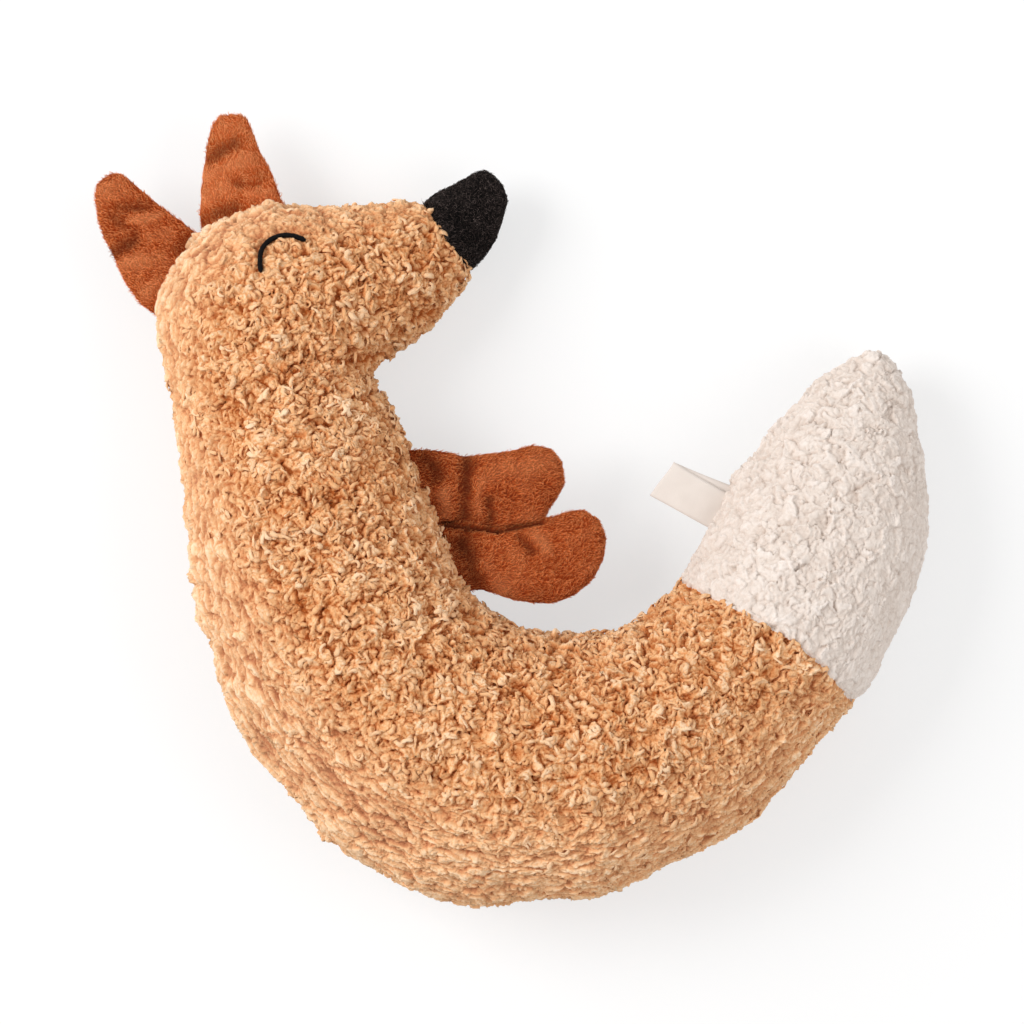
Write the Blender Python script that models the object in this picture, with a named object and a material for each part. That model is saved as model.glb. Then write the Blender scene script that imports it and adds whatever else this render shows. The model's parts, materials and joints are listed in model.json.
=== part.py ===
"""Stuffed toy fox, curled into a crescent and lying on its side.

Two mirrored cloth panels, an upper and a lower one, meet in the seam that runs along the
outline, and they hold a soft filling. Ears, paws and a folded ribbon are sewn into that seam.
Lengths are in metres, +Z is up, and the toy lies on the plane z = 0.
"""

import math
from collections import namedtuple

import bmesh
import bpy
from mathutils import Matrix, Vector

# Sizes of the curled body
body_span_x = 0.325
body_span_y = 0.297
body_thickness = 0.088
resting_flat_depth = 0.0005

# Cloths and clearances
curly_cloth_thickness = 0.0032
short_cloth_thickness = 0.0016
felt_thickness = 0.0020
sewing_gap = 0.0003
thinnest_fold = 0.0004

# Nose
nose_length = 0.0335
nose_thickness = 0.0300

# Ears
rear_ear_length = 0.0445
front_ear_length = 0.0412
ear_base_width = 0.0370
ear_thickness = 0.0070
ear_root_radius = 0.0011
ear_droop = 0.0030

# Paws
paw_length = 0.0570
paw_base_width = 0.0300
paw_thickness = 0.0130
paw_root_radius = 0.0012
upper_paw_droop = 0.0015
lower_paw_droop = 0.0050

# Ribbon label
label_width = 0.0165
label_length = 0.0265
ribbon_thickness = 0.0004
ribbon_fold_gap = 0.0005

# Embroidered eyes
eye_width = 0.0230
eye_stitch_radius = 0.0010

# Points round each half of a section, an even number
curly_arc_points = 10
small_arc_points = 8
paw_arc_points = 6
ribbon_fold_steps = 4

# A section may be cut by the ground up to this share of a quarter turn
ground_cut_share = 0.94

# Edges that turn less than this are shaded smooth
sharpest_smooth_angle = math.radians(50.0)

# Body sections from the nose seam to the tail's end. Each row gives the outer edge of the
# crescent (x, y) and its inner edge (x, y) as shares of the two spans, then the thickness
# and the rise of the underside as shares of the body's thickness.
head_shares = (
    (0.345, 0.996, 0.404, 0.904, 0.34, 0.100),
    (0.310, 1.000, 0.397, 0.877, 0.42, 0.070),
    (0.252, 1.000, 0.374, 0.843, 0.54, 0.035),
    (0.194, 0.999, 0.345, 0.814, 0.64, 0.012),
    (0.133, 0.993, 0.320, 0.792, 0.71, 0.000),
    (0.079, 0.972, 0.303, 0.778, 0.755, 0.000),
    (0.038, 0.934, 0.292, 0.770, 0.78, 0.000),
    (0.012, 0.880, 0.287, 0.764, 0.79, 0.000),
    (0.003, 0.821, 0.286, 0.758, 0.79, 0.000),
)
neck_shares = (
    (0.009, 0.761, 0.292, 0.742, 0.80, 0.017),
    (0.021, 0.702, 0.308, 0.716, 0.83, 0.000),
)
chest_shares = (
    (0.028, 0.651, 0.332, 0.660, 0.88, 0.000),
    (0.035, 0.595, 0.351, 0.600, 0.92, 0.000),
    (0.039, 0.538, 0.367, 0.545, 0.95, 0.000),
    (0.045, 0.482, 0.388, 0.493, 0.98, 0.000),
    (0.056, 0.424, 0.408, 0.455, 1.00, 0.000),
    (0.070, 0.367, 0.428, 0.431, 1.00, 0.000),
    (0.089, 0.305, 0.446, 0.417, 1.00, 0.000),
)
belly_shares = (
    (0.123, 0.234, 0.464, 0.408, 1.00, 0.000),
    (0.172, 0.161, 0.485, 0.401, 1.00, 0.000),
    (0.239, 0.089, 0.507, 0.395, 1.00, 0.000),
    (0.320, 0.037, 0.528, 0.393, 1.00, 0.000),
    (0.408, 0.013, 0.547, 0.391, 1.00, 0.000),
    (0.492, 0.010, 0.565, 0.393, 0.99, 0.000),
)
tail_root_shares = (
    (0.565, 0.017, 0.591, 0.398, 0.98, 0.017),
    (0.647, 0.051, 0.627, 0.418, 0.95, 0.000),
)
tail_shares = (
    (0.712, 0.085, 0.644, 0.434, 0.93, 0.000),
    (0.770, 0.129, 0.658, 0.445, 0.90, 0.000),
    (0.824, 0.188, 0.673, 0.456, 0.87, 0.000),
    (0.873, 0.254, 0.682, 0.462, 0.85, 0.000),
    (0.916, 0.308, 0.687, 0.468, 0.84, 0.000),
)
tail_tip_shares = (
    (0.940, 0.353, 0.695, 0.496, 0.82, 0.000),
    (0.961, 0.400, 0.706, 0.530, 0.79, 0.000),
    (0.981, 0.453, 0.722, 0.564, 0.75, 0.000),
    (0.995, 0.510, 0.743, 0.602, 0.70, 0.010),
    (1.000, 0.569, 0.767, 0.641, 0.63, 0.030),
    (0.994, 0.637, 0.799, 0.688, 0.54, 0.060),
    (0.982, 0.703, 0.838, 0.730, 0.42, 0.100),
    (0.970, 0.744, 0.872, 0.763, 0.31, 0.140),
    (0.955, 0.774, 0.900, 0.784, 0.20, 0.190),
    (0.938, 0.790, 0.920, 0.792, 0.09, 0.250),
)

# Outlines of the pieces sewn on. Each row gives one edge and then the other as shares of the
# piece's length and of its base width, then the share of its thickness.
nose_shares = (
    (0.00, -0.50, 0.00, 0.50, 0.98),
    (0.23, -0.52, 0.15, 0.50, 0.95),
    (0.42, -0.51, 0.34, 0.45, 0.88),
    (0.62, -0.50, 0.53, 0.37, 0.78),
    (0.80, -0.46, 0.71, 0.24, 0.64),
    (0.92, -0.40, 0.84, 0.12, 0.46),
    (0.98, -0.27, 0.95, 0.01, 0.26),
    (1.00, -0.17, 0.98, -0.09, 0.12),
)
rear_ear_shares = (
    (0.00, -0.50, 0.00, 0.50, 0.31),
    (0.14, -0.55, 0.15, 0.46, 0.70),
    (0.29, -0.58, 0.34, 0.34, 0.95),
    (0.45, -0.61, 0.53, 0.20, 1.00),
    (0.61, -0.65, 0.71, 0.04, 0.95),
    (0.75, -0.69, 0.87, -0.13, 0.80),
    (0.86, -0.69, 0.99, -0.30, 0.60),
    (0.96, -0.65, 1.02, -0.44, 0.30),
)
front_ear_shares = (
    (0.00, -0.50, 0.00, 0.50, 0.31),
    (0.11, -0.50, 0.17, 0.45, 0.70),
    (0.22, -0.50, 0.33, 0.38, 0.95),
    (0.37, -0.48, 0.53, 0.29, 1.00),
    (0.55, -0.45, 0.70, 0.20, 0.95),
    (0.73, -0.41, 0.85, 0.11, 0.80),
    (0.88, -0.38, 0.96, 0.02, 0.60),
    (0.96, -0.31, 1.01, -0.08, 0.30),
)
upper_paw_shares = (
    (0.00, -0.50, 0.00, 0.50, 0.18),
    (0.13, -0.38, 0.12, 0.63, 0.60),
    (0.30, -0.25, 0.26, 0.76, 0.88),
    (0.48, -0.15, 0.41, 0.86, 1.00),
    (0.67, -0.07, 0.57, 0.93, 1.00),
    (0.83, -0.01, 0.72, 0.93, 0.92),
    (0.94, 0.11, 0.84, 0.82, 0.70),
    (0.98, 0.31, 0.94, 0.66, 0.34),
)
lower_paw_shares = (
    (0.00, -0.50, 0.00, 0.50, 0.18),
    (0.11, -0.36, 0.08, 0.62, 0.60),
    (0.25, -0.21, 0.19, 0.77, 0.88),
    (0.41, -0.07, 0.31, 0.92, 1.00),
    (0.57, 0.03, 0.44, 1.04, 1.00),
    (0.74, 0.08, 0.60, 1.11, 1.00),
    (0.90, 0.07, 0.77, 1.07, 0.92),
    (1.01, 0.15, 0.91, 0.89, 0.72),
    (1.05, 0.36, 1.00, 0.68, 0.36),
)

# Rounded root of a flap: place and height as shares of the root radius
root_arc_shares = ((-0.97, 0.25), (-0.70, 0.70))
label_root_share = 0.8

# Where the flaps are sewn in, as shares of the edge that carries them
rear_ear_seat_share = 0.815
front_ear_seat_share = 0.535
upper_paw_seat_share = 0.352
lower_paw_seat_share = 0.740
label_seat_share = 0.265

# The closed eye: its middle as shares of the spans, its tilt, and its arch
eye_middle_shares = (0.164, 0.925)
eye_tilt = math.radians(35.0)
eye_arch_shares = (
    (-0.50, 0.00),
    (-0.42, 0.13),
    (-0.28, 0.26),
    (-0.08, 0.33),
    (0.12, 0.33),
    (0.30, 0.25),
    (0.43, 0.12),
    (0.50, 0.00),
)

# Where a bend turns, between the outer and the inner edge of its middle section
bend_middle_share = 0.5

Section = namedtuple("Section", "outer inner height half_thickness")
Seat = namedtuple("Seat", "middle across outward height")


def clear_scene():
    """Remove every object that the file holds."""
    for item in list(bpy.data.objects):
        bpy.data.objects.remove(item, do_unlink=True)


def make_material(name, color, roughness):
    """A plain surface for one of the toy's cloths, threads or fillings."""
    material = bpy.data.materials.new(name)
    material.use_nodes = True
    shader = material.node_tree.nodes["Principled BSDF"]
    shader.inputs["Base Color"].default_value = (*color, 1.0)
    shader.inputs["Roughness"].default_value = roughness
    shader.inputs["Metallic"].default_value = 0.0
    return material


def body_section(row):
    """One section of the crescent, standing upright between its outer and inner edge."""
    half_thickness = row[4] * body_thickness / 2
    return Section(
        Vector((row[0] * body_span_x, row[1] * body_span_y)),
        Vector((row[2] * body_span_x, row[3] * body_span_y)),
        half_thickness - resting_flat_depth + row[5] * body_thickness,
        half_thickness,
    )


def moved_along_body(section, distance):
    """The same section, moved towards the tail's end by a distance."""
    across = (section.inner - section.outer).normalized()
    step = Vector((across.y, -across.x)) * distance
    return section._replace(outer=section.outer + step, inner=section.inner + step)


def body_run(previous_rows, rows):
    """The sections of one length of the body, drawn back at both ends from its neighbours."""
    sections = [body_section(row) for row in (*previous_rows[-1:], *rows)]
    sections[0] = moved_along_body(sections[0], sewing_gap / 2)
    sections[-1] = moved_along_body(sections[-1], -sewing_gap / 2)
    return sections


def upper_angles(count):
    """Angles over the upper face, from the outer to the inner edge."""
    return [math.pi * step / (count - 1) for step in range(count)]


def lower_angles(section, count):
    """Angles under the lower face, with a straight facet where the ground cuts it."""
    reach = min(section.height / section.half_thickness, 1.0)
    cut = min(math.asin(reach), ground_cut_share * math.pi / 2)
    side = [cut * step / (count // 2 - 1) for step in range(count // 2)]
    return side + [math.pi - angle for angle in reversed(side)]


def arc(section, inset, side, count, gap=sewing_gap):
    """Points of half a section, drawn in by an inset: side is 1 above the seam, -1 below."""
    middle = (section.outer + section.inner) / 2
    half_line = (section.outer - section.inner) / 2
    half_width = max(half_line.length - inset, thinnest_fold)
    half_height = max(section.half_thickness - inset, thinnest_fold) - gap / 2
    direction = half_line.normalized()
    angles = upper_angles(count) if side > 0 else lower_angles(section, count)
    points = []
    for angle in angles:
        place = middle + direction * (half_width * math.cos(angle))
        height = section.height + side * (gap / 2 + half_height * math.sin(angle))
        points.append(Vector((place.x, place.y, max(height, 0.0))))
    return points


def mesh_object(name, shape, material):
    """Turn a finished shape into an object with its cloth on it."""
    bmesh.ops.recalc_face_normals(shape, faces=shape.faces)
    mesh = bpy.data.meshes.new(name)
    shape.to_mesh(mesh)
    shape.free()
    mesh.shade_smooth()
    mesh.set_sharp_from_angle(angle=sharpest_smooth_angle)
    mesh.materials.append(material)
    piece = bpy.data.objects.new(name, mesh)
    bpy.context.scene.collection.objects.link(piece)
    return piece


def skin_faces(shape, rings):
    """Triangles between neighbouring rings, all split along the same diagonal."""
    for ring, following in zip(rings, rings[1:]):
        for k in range(len(ring) - 1):
            shape.faces.new((ring[k], ring[k + 1], following[k + 1]))
            shape.faces.new((ring[k], following[k + 1], following[k]))


def cloth_panel(name, sections, thickness, side, count, material):
    """Half of a cover: an outer and an inner skin, joined at the seam and at both ends."""
    shape = bmesh.new()
    skins = []
    for inset in (0.0, thickness):
        rings = [arc(section, inset, side, count) for section in sections]
        skins.append([[shape.verts.new(point) for point in ring] for ring in rings])
        skin_faces(shape, skins[-1])
    outside, inside = skins
    for k in (0, -1):
        skin_faces(shape, [(outer[k], inner[k]) for outer, inner in zip(outside, inside)])
        skin_faces(shape, (outside[k], inside[k]))
    return mesh_object(name, shape, material)


def filling(name, sections, cloth_thickness, count, material):
    """The soft filling inside a pair of panels, clear of their inner skins."""
    inset = cloth_thickness + sewing_gap
    shape = bmesh.new()
    above = []
    below = []
    for section in sections:
        half_width = (section.outer - section.inner).length / 2
        if min(half_width, section.half_thickness) < inset + thinnest_fold:
            continue
        upper = [shape.verts.new(point) for point in arc(section, inset, 1, count, gap=0.0)]
        lower = arc(section, inset, -1, count, gap=0.0)[1:-1]
        above.append(upper)
        below.append([upper[0], *(shape.verts.new(point) for point in lower), upper[-1]])
    skin_faces(shape, above)
    skin_faces(shape, below)
    for k in (0, -1):
        shape.faces.new((*above[k], *below[k][-2:0:-1]))
    return mesh_object(name, shape, material)


def flat_backed_panel(name, sections, side, count, material):
    """One half of a thin piece: a domed face over a flat back."""
    shape = bmesh.new()
    rings = []
    for section in sections:
        rings.append([shape.verts.new(point) for point in arc(section, 0.0, side, count)])
    skin_faces(shape, rings)
    skin_faces(shape, [(ring[0], ring[-1]) for ring in rings])
    shape.faces.new(rings[0])
    shape.faces.new(rings[-1])
    return mesh_object(name, shape, material)


def stuffed_length(name, sections, thickness, count, cloth, fill):
    """A stuffed length of the toy: two cover panels and the filling between them."""
    return [
        cloth_panel(f"{name}_upper_panel", sections, thickness, 1, count, cloth),
        cloth_panel(f"{name}_lower_panel", sections, thickness, -1, count, cloth),
        filling(f"{name}_filling", sections, thickness, count, fill),
    ]


def point_on_run(points, distance):
    """The point at a distance along a run of points."""
    for start, end in zip(points, points[1:]):
        length = (end - start).length
        if distance <= length:
            return start.lerp(end, distance / length)
        distance -= length
    return points[-1]


def run_length(points):
    """The length of a run of points."""
    return sum((end - start).length for start, end in zip(points, points[1:]))


def seam_seat(sections, edge, share, width, root_radius):
    """Where a flap's root lies: just outside the seam, square to it, and clear of it."""
    points = [getattr(section, edge) for section in sections]
    centre = share * run_length(points)
    start = point_on_run(points, centre - width / 2)
    end = point_on_run(points, centre + width / 2)
    across = (end - start).normalized()
    outward = Vector((-across.y, across.x)) if edge == "inner" else Vector((across.y, -across.x))
    middle = (start + end) / 2
    near = [point for point in points if abs((point - middle).dot(across)) <= width / 2]
    furthest = max((point - middle).dot(outward) for point in (*near, start, end))
    middle = middle + outward * (furthest + sewing_gap + root_radius)
    closest = min(sections, key=lambda section: (getattr(section, edge) - middle).length)
    return Seat(middle, across, outward, closest.height)


def flap_place(seat, along, across):
    """A point of a flap, from its distances along and across it."""
    return seat.middle + seat.outward * along + seat.across * across


def flap_sections(seat, rows, length, width, thickness, root_radius, droop):
    """The sections of an ear or a paw, from its rounded root to its tip."""
    first = rows[0]
    sections = []
    for along_share, height_share in root_arc_shares:
        along = along_share * root_radius
        sections.append(
            Section(
                flap_place(seat, along, first[1] * width),
                flap_place(seat, along, first[3] * width),
                seat.height,
                height_share * root_radius,
            )
        )
    for row in rows:
        reach = (row[0] + row[2]) / 2
        sections.append(
            Section(
                flap_place(seat, row[0] * length, row[1] * width),
                flap_place(seat, row[2] * length, row[3] * width),
                seat.height - droop * reach,
                row[4] * thickness / 2,
            )
        )
    return sections


def ear(name, seat, rows, length, cloth):
    """A thin ear of two panels, sewn face to face."""
    sections = flap_sections(
        seat, rows, length, ear_base_width, ear_thickness, ear_root_radius, ear_droop
    )
    panels = []
    for label, side in (("upper", 1), ("lower", -1)):
        panels.append(
            flat_backed_panel(f"{name}_{label}_panel", sections, side, small_arc_points, cloth)
        )
    return panels


def paw(name, seat, rows, droop, cloth, fill):
    """A lightly stuffed paw: two panels round a thin filling."""
    sections = flap_sections(
        seat, rows, paw_length, paw_base_width, paw_thickness, paw_root_radius, droop
    )
    return stuffed_length(name, sections, short_cloth_thickness, paw_arc_points, cloth, fill)


def nose(head_end, felt, fill):
    """The felt nose, sewn to the narrow end of the head."""
    across = head_end.inner - head_end.outer
    width = across.length
    across.normalize()
    outward = Vector((-across.y, across.x))
    seat = Seat(
        (head_end.outer + head_end.inner) / 2 + outward * sewing_gap / 2,
        across,
        outward,
        head_end.height,
    )
    sections = []
    for row in nose_shares:
        sections.append(
            Section(
                flap_place(seat, row[0] * nose_length, row[1] * width),
                flap_place(seat, row[2] * nose_length, row[3] * width),
                seat.height,
                row[4] * nose_thickness / 2,
            )
        )
    return stuffed_length("nose", sections, felt_thickness, small_arc_points, felt, fill)


def folded_label(seat, ribbon):
    """A ribbon folded in two, its loose end a round fold, its two ends in the seam."""
    outer_radius = ribbon_thickness + ribbon_fold_gap / 2
    inner_radius = ribbon_fold_gap / 2
    fold = label_length - outer_radius
    root = -label_root_radius() * math.sqrt(1.0 - label_root_share**2)
    paths = []
    for radius in (outer_radius, inner_radius):
        path = [(root, radius)]
        for step in range(ribbon_fold_steps + 1):
            angle = math.pi * step / ribbon_fold_steps
            path.append((fold + radius * math.sin(angle), radius * math.cos(angle)))
        path.append((root, -radius))
        paths.append(path)
    shape = bmesh.new()
    edges = []
    for across in (-label_width / 2, label_width / 2):
        for path in paths:
            loop = []
            for along, height in path:
                place = flap_place(seat, along, across)
                loop.append(shape.verts.new((place.x, place.y, seat.height + height)))
            edges.append(loop)
    near_outer, near_inner, far_outer, far_inner = edges
    ribbon_sides = ((near_outer, near_inner), (far_outer, far_inner))
    ribbon_faces = ((near_outer, far_outer), (near_inner, far_inner))
    for first, second in (*ribbon_sides, *ribbon_faces):
        for k in range(len(first) - 1):
            shape.faces.new((first[k], first[k + 1], second[k + 1], second[k]))
    for k in (0, -1):
        shape.faces.new((near_outer[k], near_inner[k], far_inner[k], far_outer[k]))
    return mesh_object("ribbon_label", shape, ribbon)


def label_root_radius():
    """The radius that the label's two raw ends sweep round their hinge."""
    return (ribbon_thickness + ribbon_fold_gap / 2) / label_root_share


def face_point(sections, place, side):
    """The point of the curved face above or below a place inside the outline."""
    for first, second in zip(sections, sections[1:]):
        before = crossing(first, place)
        after = crossing(second, place)
        if before * after > 0:
            continue
        mix = before / (before - after)
        outer = first.outer.lerp(second.outer, mix)
        inner = first.inner.lerp(second.inner, mix)
        height = first.height + (second.height - first.height) * mix
        half = first.half_thickness + (second.half_thickness - first.half_thickness) * mix
        share = 2.0 * (place - outer).length / (inner - outer).length - 1.0
        return Vector((place.x, place.y, height + side * half * math.sqrt(1.0 - share**2)))
    raise ValueError("the place lies outside the sections")


def crossing(section, place):
    """On which side of a section a place lies."""
    line = section.inner - section.outer
    offset = place - section.outer
    return line.x * offset.y - line.y * offset.x


def eye(name, sections, side, thread):
    """A closed eye: one raised line of stitches that follows the face."""
    middle = Vector(
        (eye_middle_shares[0] * body_span_x, eye_middle_shares[1] * body_span_y)
    )
    turn = Matrix.Rotation(eye_tilt, 2)
    lift = eye_stitch_radius + sewing_gap
    probe = eye_stitch_radius
    path = []
    for along, rise in eye_arch_shares:
        place = middle + turn @ (Vector((along, rise)) * eye_width)
        point = face_point(sections, place, side)
        east = face_point(sections, place + Vector((probe, 0.0)), side) - point
        north = face_point(sections, place + Vector((0.0, probe)), side) - point
        normal = east.cross(north).normalized() * side
        path.append(point + normal * lift)
    curve = bpy.data.curves.new(name, "CURVE")
    curve.dimensions = "3D"
    curve.bevel_depth = eye_stitch_radius
    curve.bevel_resolution = 1
    curve.use_fill_caps = True
    spline = curve.splines.new("POLY")
    spline.points.add(len(path) - 1)
    for knot, point in zip(spline.points, path):
        knot.co = (*point, 1.0)
    curve.materials.append(thread)
    piece = bpy.data.objects.new(name, curve)
    bpy.context.scene.collection.objects.link(piece)
    return piece


def flap_matrix(seat):
    """The place of a flap's hinge. Its X axis is the hinge line, and a positive turn lifts."""
    outward = Vector((seat.outward.x, seat.outward.y, 0.0))
    up = Vector((0.0, 0.0, 1.0))
    turned = Matrix((outward.cross(up), outward, up)).transposed().to_4x4()
    return Matrix.Translation((seat.middle.x, seat.middle.y, seat.height)) @ turned


def bend_matrix(sections):
    """The upright axis of a bend, in the middle of the length that gives way."""
    section = sections[len(sections) // 2]
    middle = section.outer.lerp(section.inner, bend_middle_share)
    return Matrix.Translation((middle.x, middle.y, section.height))


def add_pivot(name, matrix, parent, parent_matrix):
    """An empty on a joint's axis, carried by the body that it turns against."""
    pivot = bpy.data.objects.new(name, None)
    pivot.empty_display_size = eye_width
    bpy.context.scene.collection.objects.link(pivot)
    pivot.parent = parent
    pivot.matrix_basis = parent_matrix.inverted() @ matrix
    return pivot


def carry(pieces, pivot, matrix):
    """Hang finished pieces on the empty of their body, where they are."""
    for piece in pieces:
        piece.parent = pivot
        piece.matrix_parent_inverse = matrix.inverted()


def middle_of(pieces):
    """The middle of the ground area that all pieces cover."""
    bpy.context.view_layer.update()
    corners = [piece.matrix_world @ Vector(c) for piece in pieces for c in piece.bound_box]
    low_x = min(corner.x for corner in corners)
    high_x = max(corner.x for corner in corners)
    low_y = min(corner.y for corner in corners)
    high_y = max(corner.y for corner in corners)
    return Vector(((low_x + high_x) / 2, (low_y + high_y) / 2, 0.0))


def main():
    """Build the fox, hang its pieces on their joints and centre it on the ground."""
    clear_scene()
    tan = make_material("tan_curly_cloth", (0.72, 0.40, 0.19), 0.95)
    cream = make_material("cream_curly_cloth", (0.80, 0.74, 0.66), 0.95)
    rust = make_material("rust_plush", (0.40, 0.10, 0.03), 0.85)
    felt = make_material("black_felt", (0.012, 0.010, 0.010), 0.90)
    thread = make_material("black_thread", (0.010, 0.009, 0.009), 0.60)
    ribbon = make_material("ribbon", (0.85, 0.77, 0.70), 0.60)
    fill = make_material("fibre_filling", (0.90, 0.90, 0.88), 1.00)

    head_run = [body_section(row) for row in head_shares]
    head_run[-1] = moved_along_body(head_run[-1], -sewing_gap / 2)
    neck_run = body_run(head_shares, neck_shares)
    chest_run = body_run(neck_shares, chest_shares)
    belly_run = body_run(chest_shares, belly_shares)
    root_run = body_run(belly_shares, tail_root_shares)
    tail_run = body_run(tail_root_shares, tail_shares)
    tip_run = body_run(tail_shares, tail_tip_shares)
    head_run[0] = moved_along_body(head_run[0], sewing_gap / 2)

    def curly_length(name, sections, cloth):
        return stuffed_length(
            name, sections, curly_cloth_thickness, curly_arc_points, cloth, fill
        )

    torso = curly_length("neck", neck_run, tan)
    torso += curly_length("chest", chest_run, tan)
    torso += curly_length("belly", belly_run, tan)
    torso += curly_length("tail_root", root_run, tan)
    head = curly_length("head", head_run, tan)
    head += nose(body_section(head_shares[0]), felt, fill)
    head.append(eye("upper_eye_stitching", head_run, 1, thread))
    head.append(eye("lower_eye_stitching", head_run, -1, thread))
    tail = curly_length("tail", tail_run, tan)
    tail += curly_length("tail_tip", tip_run, cream)

    rear_ear_seat = seam_seat(
        head_run, "outer", rear_ear_seat_share, ear_base_width, ear_root_radius
    )
    front_ear_seat = seam_seat(
        head_run, "outer", front_ear_seat_share, ear_base_width, ear_root_radius
    )
    upper_paw_seat = seam_seat(
        chest_run, "inner", upper_paw_seat_share, paw_base_width, paw_root_radius
    )
    lower_paw_seat = seam_seat(
        chest_run, "inner", lower_paw_seat_share, paw_base_width, paw_root_radius
    )
    label_seat = seam_seat(tip_run, "inner", label_seat_share, label_width, label_root_radius())

    fox = add_pivot("fox", Matrix.Identity(4), None, Matrix.Identity(4))
    carry(torso, fox, Matrix.Identity(4))
    bends = {
        "neck_bend": (neck_run, head),
        "tail_bend": (root_run, tail),
    }
    pivots = {"torso": (fox, Matrix.Identity(4))}
    for name, (sections, pieces) in bends.items():
        matrix = bend_matrix(sections)
        pivots[name] = (add_pivot(name, matrix, fox, Matrix.Identity(4)), matrix)
        carry(pieces, *pivots[name])
    flaps = {
        "rear_ear_flap": (
            "neck_bend",
            rear_ear_seat,
            ear("rear_ear", rear_ear_seat, rear_ear_shares, rear_ear_length, rust),
        ),
        "front_ear_flap": (
            "neck_bend",
            front_ear_seat,
            ear("front_ear", front_ear_seat, front_ear_shares, front_ear_length, rust),
        ),
        "upper_paw_flap": (
            "torso",
            upper_paw_seat,
            paw("upper_paw", upper_paw_seat, upper_paw_shares, upper_paw_droop, rust, fill),
        ),
        "lower_paw_flap": (
            "torso",
            lower_paw_seat,
            paw("lower_paw", lower_paw_seat, lower_paw_shares, lower_paw_droop, rust, fill),
        ),
        "label_flap": ("tail_bend", label_seat, [folded_label(label_seat, ribbon)]),
    }
    for name, (carrier, seat, pieces) in flaps.items():
        matrix = flap_matrix(seat)
        parent, parent_matrix = pivots[carrier]
        carry(pieces, add_pivot(name, matrix, parent, parent_matrix), matrix)

    everything = torso + head + tail
    for carrier, seat, pieces in flaps.values():
        everything += pieces
    fox.location = -middle_of(everything)
    bpy.context.view_layer.update()


main()
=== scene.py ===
# %% [markdown]
# # A stuffed fox in curly pile
#
# This lesson dresses a toy fox that lies on its side, curled into a crescent. The solid
# model under it already has the real sizes and the joints. What is left is everything that
# a hand would feel: a matted curly pile, short velvety plush, black felt, stitched eyes and
# a folded ribbon.
#
# The plan is the one a toy maker would follow. First the stuffed body is made as one smooth
# skin. Then the pile is raised on it, flake by flake, because the outline of the real toy is
# bumpy and a bump map can't change an outline. The small pieces are sewn on after that.

# %% Load the frame
import itertools
import json
import math

import bmesh
import bpy
import numpy as np
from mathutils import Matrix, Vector, noise
from mathutils.bvhtree import BVHTree
from mathutils.kdtree import KDTree

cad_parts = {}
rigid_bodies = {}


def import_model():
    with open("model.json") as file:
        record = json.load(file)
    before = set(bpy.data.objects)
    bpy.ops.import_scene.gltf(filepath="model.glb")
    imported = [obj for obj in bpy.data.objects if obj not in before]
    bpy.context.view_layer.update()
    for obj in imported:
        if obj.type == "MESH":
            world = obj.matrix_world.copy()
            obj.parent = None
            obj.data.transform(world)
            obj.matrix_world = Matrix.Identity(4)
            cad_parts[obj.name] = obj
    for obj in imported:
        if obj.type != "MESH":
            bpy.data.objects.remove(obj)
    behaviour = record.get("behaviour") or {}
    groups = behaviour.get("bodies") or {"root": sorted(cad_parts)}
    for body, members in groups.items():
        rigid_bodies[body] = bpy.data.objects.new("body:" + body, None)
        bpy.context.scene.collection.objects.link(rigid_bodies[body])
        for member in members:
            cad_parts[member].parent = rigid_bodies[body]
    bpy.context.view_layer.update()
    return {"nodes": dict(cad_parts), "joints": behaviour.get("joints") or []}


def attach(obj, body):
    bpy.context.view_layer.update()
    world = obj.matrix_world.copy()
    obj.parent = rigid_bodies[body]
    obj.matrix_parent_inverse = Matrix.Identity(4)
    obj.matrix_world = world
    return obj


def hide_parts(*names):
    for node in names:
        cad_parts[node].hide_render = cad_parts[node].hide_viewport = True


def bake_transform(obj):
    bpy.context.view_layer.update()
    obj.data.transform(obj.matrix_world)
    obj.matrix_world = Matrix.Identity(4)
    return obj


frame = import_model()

# %% [markdown]
# ## Small helpers
#
# Meshes here come from number arrays, because thousands of loops and fibres are quicker to
# write down as numbers than to place one at a time. Colours are written as they look on a
# screen and turned into the linear values that Blender works with.

# %% Helpers for meshes and colours
def linked(name, data):
    """A new object in the scene that shows this mesh, lamp or camera."""
    made = bpy.data.objects.new(name, data)
    bpy.context.scene.collection.objects.link(made)
    return made


def point_values(mesh, name, values):
    """Stores one number for each point of a mesh, or one for all, where a material can read it."""
    layer = mesh.attributes.new(name, "FLOAT", "POINT")
    layer.data.foreach_set("value", np.full(len(mesh.vertices), values, np.float32))


def mesh_from(name, points, faces, **values):
    """A smooth shaded mesh from arrays of points and faces; named values are stored on its points."""
    mesh = bpy.data.meshes.new(name)
    mesh.from_pydata(points.tolist(), [], faces)
    mesh.update()
    mesh.shade_smooth()
    for attribute, numbers in values.items():
        point_values(mesh, attribute, numbers)
    return mesh


def linear(red, green, blue):
    """A screen colour, 0 to 255, as Blender's linear colour with full opacity."""
    def channel(value):
        share = value / 255
        return share / 12.92 if share <= 0.04045 else ((share + 0.055) / 1.055) ** 2.4
    return (channel(red), channel(green), channel(blue), 1.0)


def points_of(mesh):
    """The points of a mesh and their normals, as two arrays."""
    count = len(mesh.vertices)
    places, normals = np.zeros(count * 3), np.zeros(count * 3)
    mesh.vertices.foreach_get("co", places)
    mesh.vertex_normals.foreach_get("vector", normals)
    return places.reshape(-1, 3), normals.reshape(-1, 3)


def moved_to(mesh, places):
    """Moves all points of a mesh to new places."""
    mesh.vertices.foreach_set("co", places.ravel())
    mesh.update()


def unit(arrows):
    """Arrows of the same directions, each with a length of one."""
    return arrows / np.linalg.norm(arrows, axis=-1, keepdims=True)


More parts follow.
